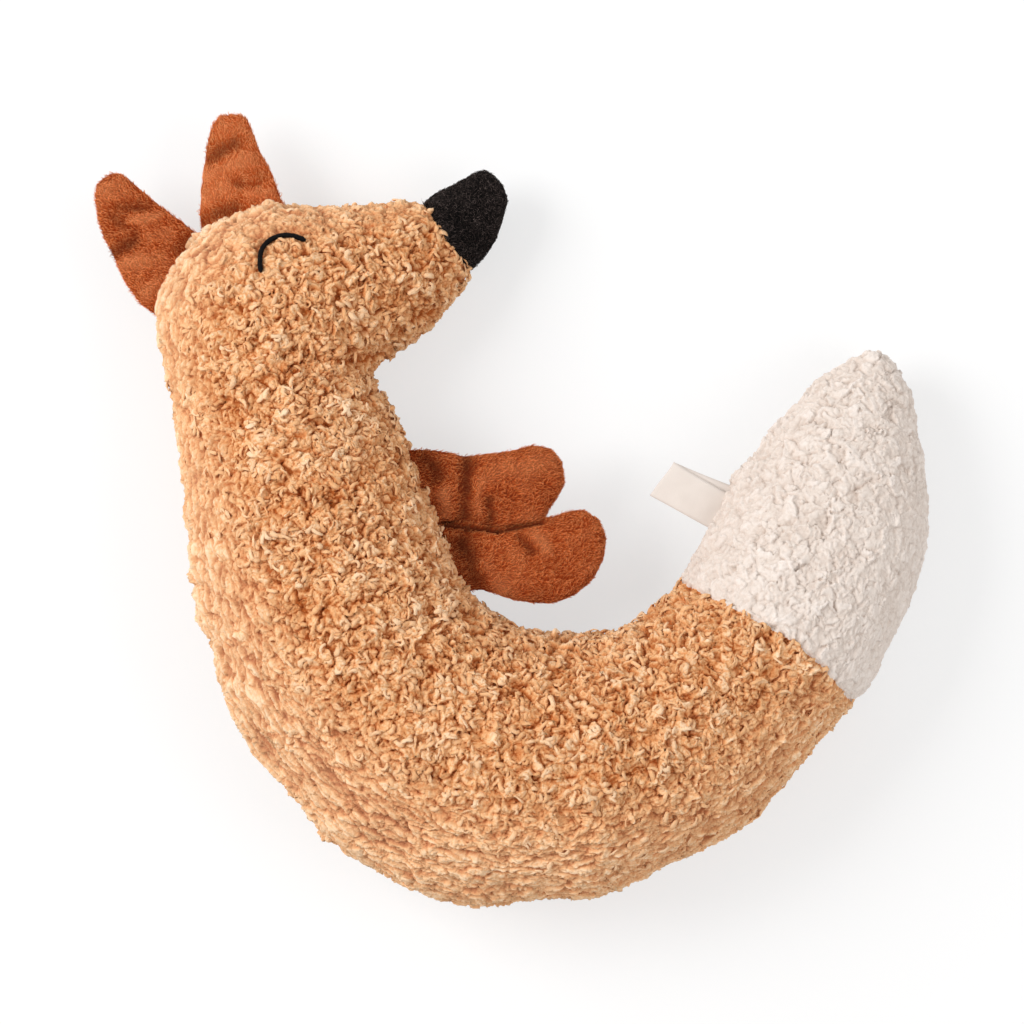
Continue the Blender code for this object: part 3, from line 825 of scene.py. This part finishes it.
def fibre_material(name, deep, low, middle_tone, tip, tint, glow, fibre_scale=1100.0,
                   relief_depth=0.0003):
    """Fibrous cloth whose colour runs from deep, a painted shade between the strands, to tip on top."""
    material, tree, shader = new_material(
        name, Roughness=0.95, Specular_IOR_Level=0.12, Sheen_Weight=glow, Sheen_Roughness=0.55,
        Sheen_Tint=tip)

    def stored(attribute):
        return add_node(tree, "Attribute", {}, attribute_name=attribute).outputs["Fac"]

    def mixed(kind, factor, first, second):
        inputs = {"Factor": factor, "A": first, "B": second}
        return add_node(tree, "Mix", inputs, data_type="RGBA", blend_type=kind).outputs["Result"]

    place = add_node(tree, "TexCoord", {}).outputs["Object"]
    fibre = add_node(tree, "TexNoise", {
        "Vector": place, "Scale": fibre_scale, "Detail": 3, "Roughness": 0.6}).outputs["Fac"]
    level = add_node(
        tree, "Math", {0: fibre, 1: fibre_share, 2: stored("rise")}, operation="MULTIPLY_ADD")
    by_height = add_ramp(tree, level.outputs[0], (
        (deep_stop, deep), (low_stop, low), (middle_stop, middle_tone), (tip_stop, tip)))
    own_shade = add_ramp(tree, stored("shade"), ((0, tint), (1, white)))
    colour = mixed("MULTIPLY", 1.0, by_height, own_shade)
    # Paler where the back is worn, and a painted highlight on the swells of the plush.
    worn = add_node(tree, "Math", {0: stored("worn"), 1: worn_share}, operation="MULTIPLY")
    colour = mixed("MIX", worn.outputs[0], colour, tip)
    # Painted shade in the dents of the plush and the nose.
    colour = mixed("MIX", stored("hollow"), colour, deep)
    tree.links.new(colour, shader.inputs["Base Color"])
    add_bump(tree, fibre, shader, strength=0.8, distance=relief_depth)
    return material


tan_boucle = fibre_material(
    "tan_boucle", deep=linear(186, 101, 44), low=linear(222, 153, 98), middle_tone=linear(243, 189, 137),
    tip=linear(253, 220, 184), tint=(0.86, 0.79, 0.72, 1), glow=0.2, fibre_scale=1500.0, relief_depth=0.0005)
cream_boucle = fibre_material(
    "cream_boucle", deep=linear(206, 190, 178), low=linear(220, 205, 194), middle_tone=linear(229, 216, 206),
    tip=linear(238, 227, 219), tint=(0.97, 0.96, 0.95, 1), glow=0.1, fibre_scale=1500.0, relief_depth=0.0002)

# %% [markdown]
# ## The pieces of the body and the joints
#
# The neck and the root of the tail are soft, so nothing there may turn like a door. Here the
# pieces of the head, neck, chest, belly, tail root and tail keep their place, which is baked
# into their points, and the pieces of the tail tip ride on the tail.

# %% How each length of the body is placed
front_lengths = ("head", "neck", "chest")
rear_lengths = ("belly", "tail_root", "tail")


def follow(piece, length):
    """Bakes the place of a piece of the front or rear lengths into its points; a piece of the tail tip rides
    on the tail.
    """
    if length in front_lengths:
        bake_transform(piece)
    elif length in rear_lengths:
        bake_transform(piece)
    else:
        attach(piece, "tail")


def dressed(piece, length):
    """Gives a piece of the body its cloth."""
    creamy = length == "tail_tip"
    piece.data.materials.append(cream_boucle if creamy else tan_boucle)


# %% Build the pieces of the pile
for number, node in enumerate(panels):
    used, mine = np.unique(fine_faces[fine_owner == number], return_inverse=True)
    length = node.rsplit("_", 2)[0]
    own_loops = np.flatnonzero(point_owner[chosen] == number)
    roots = np.repeat(chosen[own_loops], points_each)
    places = np.concatenate((raised[used], loop_shapes[own_loops].reshape(-1, 3)))
    faces = mine.reshape(-1, 4).tolist()
    faces += strand_faces(len(own_loops), loop_rings, loop_sides, len(used))
    mesh = mesh_from(
        node.replace("panel", "pile"), places, faces,
        rise=np.concatenate((rise[used], loop_rise[own_loops].ravel())),
        shade=np.concatenate((tone[used], tone[roots])),
        worn=np.concatenate((flatness[used], flatness[roots])))
    pile = linked(mesh.name, mesh)
    dressed(pile, length)
    follow(pile, length)
    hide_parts(node)
    print(pile.name, len(mesh.polygons), "faces")

# %% [markdown]
# ## The cloth under the pile
#
# The stuffed cloth itself lies a few millimetres deeper than the pile. It is the skin again,
# drawn in further and cut into three covers where nothing bends, so that each cover crosses
# one joint at most.

# %% Cut the skin into covers
# The covers get the colour level of the lowest places of the pile, so they have its painted shade.
cover_rise, cover_shade = 0.28, 0.5
cover_depth = 0.0035
drawn_in(skin, cover_depth)


def cover_of(name, lengths):
    """The part of the skin that belongs to these lengths, closed where it was cut."""
    cut = bmesh.new()
    cut.from_mesh(skin)
    cut.faces.ensure_lookup_table()
    numbers = owners([face.calc_center_median() for face in cut.faces])
    away = [face for face in cut.faces if panels[numbers[face.index]].rsplit("_", 2)[0] not in lengths]
    bmesh.ops.delete(cut, geom=away, context="FACES")
    bmesh.ops.holes_fill(cut, edges=[edge for edge in cut.edges if edge.is_boundary])
    bmesh.ops.triangulate(cut, faces=[face for face in cut.faces if len(face.verts) > 4])
    mesh = bpy.data.meshes.new(name)
    cut.to_mesh(mesh)
    cut.free()
    mesh.shade_smooth()
    point_values(mesh, "rise", cover_rise)
    point_values(mesh, "shade", cover_shade)
    return linked(name, mesh)


covers = {"front_cover": front_lengths, "rear_cover": rear_lengths, "tip_cover": ("tail_tip",)}
for name, lengths in covers.items():
    cover = cover_of(name, lengths)
    dressed(cover, lengths[0])
    follow(cover, lengths[0])
    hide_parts(*nodes_of(lengths, ("filling",)))
    print(name, len(cover.data.polygons), "faces")

# %% [markdown]
# ## Velvety plush
#
# Ears and paws are two layers of short plush with a little filling, sewn into the seam of
# the body. The form comes from the solids, as the skin did, but with a finer voxel, and it
# is drawn in by the depth of the nap. Its root goes a few millimetres into the pile, because
# a sewn root never ends on top of the fur. Strokes press in the soft dents that a squeezed
# paw keeps and darken them with painted shade, and the swells that they raise get a painted
# highlight. Nudges bring its outline to where the picture shows it.

# %% The form of a plush piece
plush_voxel = 0.0009
plush_smoothing = 8
nap_depth = 0.0001
# The form under the nap gets a low colour level near the deep tone: painted shade between the fibres.
root_rise = 0.12
root_tuck = 0.0075
tuck_reach = 0.016
ripple_size = 0.008
ripple_depth = 0.6
deepest_dent = 1.6
highest_swell = 1.0
hollow_tone = 0.85


def flap_frame(body):
    """Where a flap is hinged, the direction of its hinge, and the one that it sticks out in."""
    joint = next(j for j in frame["joints"] if j["child"] == body)
    axis = np.array(joint["axis"], float)
    return np.array(joint["pos_m"]), axis, np.cross((0, 0, 1), axis)


def tucked(mesh, root, outward):
    """Draws the root of a piece into what it is sewn to."""
    places, _ = points_of(mesh)
    ahead = (places - root) @ outward
    pull = np.clip(1 - ahead / tuck_reach, 0, 1) ** 2 * root_tuck
    moved_to(mesh, places - pull[:, None] * outward)


def bumps(places, size, seed):
    """A smooth random value at each place, about -1 to 1, with bumps of this size."""
    return np.array([noise.noise(Vector(place) / size + Vector((seed, 0, 0))) for place in places])


def pressed(mesh, dents, seed):
    """Presses dents into a piece and ripples it; gives each point's painted shade in the dents and painted
    highlight on the swells.
    """
    places, normals = points_of(mesh)
    depth = bumps(places, ripple_size, seed) * ripple_depth
    for first, second, width, deep in dents:
        depth += deep * on_stroke(places, first, second, width)
    push = depth * millimetre * np.abs(normals[:, 2])
    moved_to(mesh, places - normals * push[:, None])
    # Dents get painted shade and swells a painted highlight, both stored for the material.
    hollow = np.clip(depth / deepest_dent, 0, 1) * hollow_tone
    worn = np.clip(-depth / highest_swell, 0, 1)
    point_values(mesh, "hollow", hollow)
    point_values(mesh, "worn", worn)
    return hollow, worn


# %% [markdown]
# ## The nap
#
# Plush catches the light in tiny flecks, because its fibres lie in small swirls. Each fibre
# leaves the cloth steeply, leans over and ends in a point. Its root is darkened with painted
# shade and its tip is pale, and that alone gives the velvety look.

# %% Grow a nap on a piece
nap_rings, nap_sides = 4, 3
nap_root, nap_taper, nap_thinness, nap_tip_rise = 0.25, 0.7, 0.7, 0.75
nap_lifts, nap_lengths, nap_widths = (0.5, 1.2), (0.6, 1.4), (0.7, 1.3)
swirl_size, swirl_turn = 0.004, 1.6


def napped(form, name, spacing, length, width, lift, arch, toward, untidy, bend, pale, hollow, worn,
           seed):
    """A mesh of short curved fibres on a form; toward is the direction that they lie in."""
    rng = np.random.default_rng(seed)
    spots, facing = scattered(form, spacing, rng)
    count = len(spots)
    turn = swirl_turn * bumps(spots, swirl_size, seed) + untidy * rng.normal(0, 1, count)
    heading = headings_on(facing, np.broadcast_to(toward, facing.shape), turn)
    lift = lift * rng.uniform(*nap_lifts, count)
    paths = curved_paths(spots, facing, heading, length * rng.uniform(*nap_lengths, count),
                         rng.normal(0, bend, count), -nap_root * lift, lift, arch, nap_rings)
    steps = np.linspace(0, 1, nap_rings)
    widths = rng.uniform(*nap_widths, count)[:, None] * width * (1 - nap_taper * steps)
    fibres = strands(paths, facing, widths, widths * nap_thinness, nap_sides)
    nearest = numbered_tree([v.co for v in form.vertices], range(len(form.vertices)))
    near = [nearest.find(Vector(place))[1] for place in spots]
    # Along each fibre the colour level climbs from the root, which gets painted shade, to the pale tip.
    rise = ring_values(np.broadcast_to(steps * nap_tip_rise + pale, (count, nap_rings)), nap_sides)
    shade, hollow, worn = (
        np.repeat(values, fibres.shape[1]) for values in (rng.random(count), hollow[near], worn[near]))
    return mesh_from(name, fibres.reshape(-1, 3), strand_faces(count, nap_rings, nap_sides),
                     rise=rise.ravel(), shade=shade, hollow=hollow, worn=worn)


rust_plush = fibre_material(
    "rust_plush", deep=linear(72, 18, 2), low=linear(180, 77, 28), middle_tone=linear(238, 127, 66),
    tip=linear(255, 174, 116), tint=(0.64, 0.49, 0.38, 1), glow=0.15)

# %% Build a napped piece
def riding(body, mesh, material):
    """Puts a mesh with this material into the scene; it rides on a body."""
    mesh.materials.append(material)
    piece = linked(mesh.name, mesh)
    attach(piece, body)
    print(piece.name, len(mesh.polygons), "faces")
    return piece


def napped_piece(form, nap_name, body, material, slot, replaced, fill, rise, **nap):
    """Puts a form and the nap on it into the scene; both ride on a body."""
    point_values(form, "rise", rise)
    piece = riding(body, form, material)
    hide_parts(*replaced)
    riding(body, napped(form, nap_name, **nap), material)


# %% Ears and paws
plush_nap = {
    "spacing": 0.00050, "length": 0.0019, "width": 0.00021, "lift": 0.00042, "arch": 1.9,
    "untidy": 0.45, "bend": 1.2,
}
# Each stroke: two pixels, a width and a depth. A dent gets painted shade, and a swell, with a negative
# depth, a painted highlight.
ear_dents = (
    ((212, 160), (235, 144), 8, 1.2), ((209, 175), (250, 160), 7, -1.0),
    ((237, 185), (259, 187), 4.5, 1.0), ((248, 193), (271, 193), 4.5, -0.9),
    ((204, 221), (235, 209), 8, 0.9), ((206, 199), (225, 187), 9, -0.8),
    ((224, 126), (236, 128), 11, -0.5), ((118, 206), (150, 209), 5, 0.9),
    ((133, 221), (160, 216), 4.5, -1.0), ((110, 216), (136, 231), 7, 0.8),
    ((116, 255), (138, 241), 8, 1.4), ((126, 263), (150, 260), 9, -1.1),
    ((106, 190), (118, 181), 9, -0.7), ((177, 250), (192, 240), 8, 0.9),
    ((157, 282), (148, 294), 6, -0.8), ((146, 240), (168, 232), 6, -0.5),
)
upper_paw_dents = (
    ((465, 456), (463, 514), 9, 1.4), ((487, 500), (490, 520), 5.5, 1.3),
    ((442, 490), (447, 514), 8, -1.0), ((478, 482), (480, 512), 7, -0.8),
    ((426, 458), (438, 480), 10, 1.4), ((510, 470), (540, 466), 14, -0.5),
    # The last three strokes press the line where the paws meet and paint the shadow of the upper paw into
    # it.
    ((442, 523), (466, 528), 2.2, 2.6), ((466, 528), (498, 531), 2.2, 2.6),
    ((498, 531), (541, 523), 2.2, 2.2),
)
lower_paw_dents = (
    ((519, 537), (532, 551), 6, 1.4), ((462, 545), (478, 584), 12, 1.5),
    ((537, 538), (545, 546), 8, -1.0), ((488, 572), (500, 590), 11, -0.8),
    # The last three strokes paint the shadow of the upper paw along the line where the paws meet.
    ((442, 523), (466, 528), 2.2, 2.4), ((466, 528), (498, 531), 2.2, 2.4),
    ((498, 531), (541, 523), 2.2, 2.0),
)
rear_ear_nudges = (
    ((94, 200), (97, 201), 20), ((112, 172), (115, 172), 14), ((142, 298), (139, 304), 26),
)
front_ear_nudges = (
    ((266, 150), (262, 152), 22), ((280, 182), (276, 180), 20), ((204, 214), (199, 216), 18),
)
upper_paw_nudges = (
    ((450, 516), (448, 527), 26), ((494, 520), (498, 530), 24), ((530, 518), (534, 526), 18),
    ((540, 450), (538, 449), 20), ((467, 451), (468, 455), 24), ((508, 449), (508, 451), 18),
    ((430, 458), (429, 453.5), 20),
)
lower_paw_nudges = (
    ((440, 541), (438, 526), 26), ((478, 538), (482, 529), 22), ((510, 535), (512, 528), 20),
    ((536, 528), (536, 520), 16), ((556, 518), (555, 514), 14), ((590, 508), (585, 510), 22),
    ((550, 598), (551, 601), 32), ((486, 599), (488, 589), 22), ((462, 533), (462, 528), 14),
)
plush_pieces = {
    "rear_ear": (layers, 0.03, ear_dents, rear_ear_nudges),
    "front_ear": (layers, 0.16, ear_dents, front_ear_nudges),
    "upper_paw": ((*layers, "filling"), 0.0, upper_paw_dents, upper_paw_nudges),
    "lower_paw": ((*layers, "filling"), 0.02, lower_paw_dents, lower_paw_nudges),
}
for seed, (name, (kinds, pale, dents, nudges)) in enumerate(plush_pieces.items()):
    root, _, outward = flap_frame(name)
    nodes = nodes_of((name,), kinds)
    form = melted(name + "_plush", nodes, plush_voxel, plush_smoothing)
    drawn_in(form, nap_depth)
    nudged(form, nudges)
    tucked(form, root, outward)
    hollow, worn = pressed(form, dents, seed=seed + 20)
    napped_piece(form, name + "_nap", name, rust_plush, "rust_plush", nodes, fill=0.3,
                 rise=root_rise + pale, toward=outward, pale=pale, hollow=hollow, worn=worn,
                 seed=seed + 40, **plush_nap)

# %% [markdown]
# ## The nose
#
# The nose is stuffed felt. Felt is pressed from loose fibres that lie in all directions and
# curl a little, so its fuzz is a nap without a heading, made of thin whole arches.

# %% Nose
felt_fuzz_depth = 0.0004
felt_rise = 0.1
felt_nap = {
    "spacing": 0.00052, "length": 0.0030, "width": 0.00017, "lift": 0.0006, "arch": math.pi,
    "untidy": 3.0, "bend": 2.4,
}
nose_nudges = (((430, 202), (430, 197), 26), ((485, 174), (484, 171), 18), ((507, 194), (508, 197), 16))
nose_dents = (((462, 222), (480, 250), 9, 0.5),)
nose_nodes = nodes_of(("nose",), (*layers, "filling"))
black_felt = fibre_material(
    "black_felt", deep=linear(4, 3, 2), low=linear(14, 11, 11), middle_tone=linear(54, 45, 43),
    tip=linear(144, 128, 122), tint=(0.22, 0.2, 0.2, 1), glow=0.08)
nose_form = melted("nose_felt", nose_nodes, plush_voxel, plush_smoothing)
drawn_in(nose_form, felt_fuzz_depth)
nudged(nose_form, nose_nudges)
nose_hollow, nose_worn = pressed(nose_form, nose_dents, seed=31)
napped_piece(nose_form, "nose_fuzz", "head", black_felt, "black_felt", nose_nodes, fill=0.8,
             rise=felt_rise, toward=nose_outward, pale=0.0, hollow=nose_hollow, worn=nose_worn * 0,
             seed=51, **felt_nap)

# %% [markdown]
# ## The closed eyes
#
# Each eye is an arc of satin stitch: many threads side by side, laid slantwise over a thin
# cord. The stitches are modelled one by one, because they give the arc its slightly uneven
# edge. The height of the fur under them is found by dropping a ray on the solid.

# %% Where the stitches go
stitch_pitch = 0.00034
eye_rise, eye_sink = 0.0010, 0.0009
eye_height = 0.072
curve_steps = 400


def arc_on_head(node, upward):
    """Evenly spaced points of the eye's arc on one side of the solid head; how far an end is."""
    curve = np.array([spot(*pixel, eye_height) for pixel in smooth_line(eye_pixels, curve_steps)])
    passed = np.concatenate(((0,), np.cumsum(np.linalg.norm(np.diff(curve, axis=0), axis=1))))
    at = np.linspace(0, passed[-1], int(passed[-1] / stitch_pitch))
    flat = np.stack([np.interp(at, passed, curve[:, k]) for k in (0, 1)], axis=1)
    head = frame["nodes"][node].data
    tree = BVHTree.FromPolygons([v.co for v in head.vertices], [p.vertices for p in head.polygons])
    down = Vector((0, 0, -upward))
    heights = np.array([tree.ray_cast(Vector((x, y, upward)), down)[0].z for x, y in flat])
    centre = np.concatenate((flat, (heights + upward * (eye_rise - eye_sink))[:, None]), axis=1)
    return centre, np.minimum(at, passed[-1] - at)


# %% Eyes
stitch_rings, stitch_sides = 5, 5
stitch_half_width = 0.00088
stitch_radius = 0.00026
stitch_slant = 0.35
stitch_dip = 1.5
end_reach, end_share = 0.0006, 0.45
stitch_unevenness = (0.93, 1.07)
core_share, core_thinness, core_sides = 0.62, 0.7, 8
thread_rise, core_shade = 0.45, 0.3
black_thread = fibre_material(
    "black_thread", deep=linear(6, 5, 5), low=linear(12, 10, 10), middle_tone=linear(20, 18, 18),
    tip=linear(34, 32, 34), tint=(0.8, 0.8, 0.8, 1), glow=0.2, fibre_scale=5200.0)


def satin_stitch(name, centre, from_end, upward):
    """Slanted threads side by side along a line, over a thin cord."""
    count = len(centre)
    rng = np.random.default_rng(61)
    up = np.array((0.0, 0.0, upward))
    travel = unit(np.gradient(centre, axis=0))
    aside = unit(np.cross(travel, up))
    share = np.linspace(-1, 1, stitch_rings)
    half = stitch_half_width * np.clip(from_end / end_reach, end_share, 1)
    half = half * rng.uniform(*stitch_unevenness, count)
    across = (aside + travel * stitch_slant)[:, None, :] * (half[:, None] * share)[:, :, None]
    paths = centre[:, None, :] + across + up * (eye_rise * (1 - stitch_dip * share ** 2))[None, :, None]
    radii = np.full((count, stitch_rings), stitch_radius)
    threads = strands(paths, np.broadcast_to(up, (count, 3)), radii, radii, stitch_sides)
    core_radii = np.full((1, count), stitch_half_width * core_share)
    core = strands(centre[None], up[None], core_radii, core_radii * core_thinness, core_sides)
    faces = strand_faces(count, stitch_rings, stitch_sides)
    faces += strand_faces(1, count, core_sides, count * threads.shape[1])
    places = np.concatenate((threads.reshape(-1, 3), core.reshape(-1, 3)))
    thread_shades = np.repeat(rng.random(count), threads.shape[1])
    mesh = mesh_from(
        name, places, faces, rise=thread_rise,
        shade=np.concatenate((thread_shades, np.full(core.shape[1], core_shade))))
    return mesh


for side, upward in (("upper", 1.0), ("lower", -1.0)):
    centre, from_end = arc_on_head(f"head_{side}_panel", upward)
    stitched = satin_stitch(side + "_eye_stitches", centre, from_end, upward)
    stitches = riding("head", stitched, black_thread)
    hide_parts(side + "_eye_stitching")
    print(len(centre), "stitches")

# %% [markdown]
# ## The ribbon label
#
# A strip of blank ribbon is folded once and sewn into the seam by both ends. It is built as
# the strip is cut, a flat grid, whose long way is led out, round the fold and back. The two
# sides of a thin solid make it real cloth with an edge.

# %% Ribbon label
ribbon_width = 0.0165
ribbon_reach = 0.0245
ribbon_thickness = 0.0004
fold_radius = 0.00055
ribbon_root = 0.007
ribbon_fan = 0.13
ribbon_steps, ribbon_columns, fold_steps = 26, 14, 8
ribbon_bow, bow_turn, ribbon_arch = 0.0005, 2.4, 0.0003
label_root, label_across, label_out = flap_frame("label")

straight = ribbon_reach - fold_radius
profile = [(x, fold_radius) for x in np.linspace(-ribbon_root, straight, ribbon_steps)]
for k in range(1, fold_steps):
    angle = math.pi * k / fold_steps
    profile.append((straight + fold_radius * math.sin(angle), fold_radius * math.cos(angle)))
profile += [(x, -fold_radius) for x in np.linspace(straight, -ribbon_root, ribbon_steps)]
profile = np.array(profile)
grid = []
for out, up in profile:
    fanned = ribbon_fan * max(straight - out, 0) * (up < 0)
    for share in np.linspace(-0.5, 0.5, ribbon_columns + 1):
        bow = ribbon_bow * math.sin(out / ribbon_reach * bow_turn) + ribbon_arch * math.cos(share * math.pi)
        beside_middle = label_across * (share * ribbon_width + fanned)
        grid.append(label_root + label_out * out + beside_middle + np.array((0, 0, up + bow)))
columns = ribbon_columns + 1
faces = [(r * columns + c, r * columns + c + 1, (r + 1) * columns + c + 1, (r + 1) * columns + c)
         for r in range(len(profile) - 1) for c in range(ribbon_columns)]
ribbon_mesh = mesh_from("ribbon_loop", np.array(grid), faces)
nudged(ribbon_mesh, (
    ((678, 503), (676.5, 506), 90), ((671.4, 461.2), (674, 462), 16), ((652.3, 494.5), (650.6, 494.5), 16)))


def ribbon_material():
    """Cream ribbon with the fine ribs of its weave across the strip."""
    material, tree, shader = new_material(
        "cream_ribbon", Roughness=0.6, Specular_IOR_Level=0.3, Sheen_Weight=0.1)
    place = add_node(tree, "TexCoord", {}).outputs["Object"]
    along_ribs = (0, 0, -math.atan2(label_out[1], label_out[0]))
    turned = add_node(tree, "Mapping", {"Vector": place, "Rotation": along_ribs})
    ribs = add_node(tree, "TexWave", {
        "Vector": turned.outputs["Vector"], "Scale": 420, "Distortion": 0.6})
    patches = add_node(tree, "TexNoise", {"Vector": place, "Scale": 160})
    tones = ((0, linear(218, 207, 198)), (1, linear(228, 218, 210)))
    tree.links.new(add_ramp(tree, patches.outputs["Fac"], tones), shader.inputs["Base Color"])
    add_bump(tree, ribs.outputs["Fac"], shader, strength=0.25, distance=0.0001)
    return material


ribbon = riding("label", ribbon_mesh, ribbon_material())
thicker = ribbon.modifiers.new("thickness", "SOLIDIFY")
thicker.thickness = ribbon_thickness
thicker.offset = 0.0
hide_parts("ribbon_label")

# %% [markdown]
# ## Floor and light
#
# The toy lies on a plain pale floor. Most of the light comes evenly from the room, and one
# wide lamp on the left models the round body, as in the picture.

# %% Floor, lamps and world
floor_size = 8.0
floor_glow = 0.6
room_light = 0.62
scene = bpy.context.scene
scene.view_settings.view_transform = "Standard"

floor = linked("floor", mesh_from("floor", np.array((
    (-1, -1, 0), (1, -1, 0), (1, 1, 0), (-1, 1, 0)), float) * floor_size / 2, [(0, 1, 2, 3)]))
floor_paper, tree, paper = new_material(
    "floor_paper", Base_Color=(0.9, 0.9, 0.9, 1), Roughness=0.9, Specular_IOR_Level=0.0)
seen_directly = add_node(tree, "LightPath", {}).outputs["Is Camera Ray"]
glowing = add_node(tree, "Math", {0: seen_directly, 1: floor_glow}, operation="MULTIPLY")
glow = add_node(tree, "Emission", {}).outputs["Emission"]
both = add_node(tree, "MixShader", {"Fac": glowing.outputs[0], 1: paper.outputs["BSDF"], 2: glow})
tree.links.new(both.outputs["Shader"], tree.nodes["Material Output"].inputs["Surface"])
floor.data.materials.append(floor_paper)


def lamp(name, place, size, watts):
    """A square area lamp that faces the toy."""
    data = bpy.data.lights.new(name, "AREA")
    data.size = size
    data.energy = watts
    made = linked(name, data)
    made.location = place
    made.rotation_mode = "QUATERNION"
    made.rotation_quaternion = (Vector((0, 0, measuring_height)) - Vector(place)).to_track_quat("-Z", "Y")


lamp("left_lamp", (-1.5, 0.5, 1.5), size=1.2, watts=34)
lamp("right_lamp", (1.5, -0.3, 1.7), size=1.2, watts=10)
world = bpy.data.worlds.new("room")
scene.world = world
world.use_nodes = True
room = world.node_tree.nodes["Background"]
room.inputs["Color"].default_value = white
room.inputs["Strength"].default_value = room_light
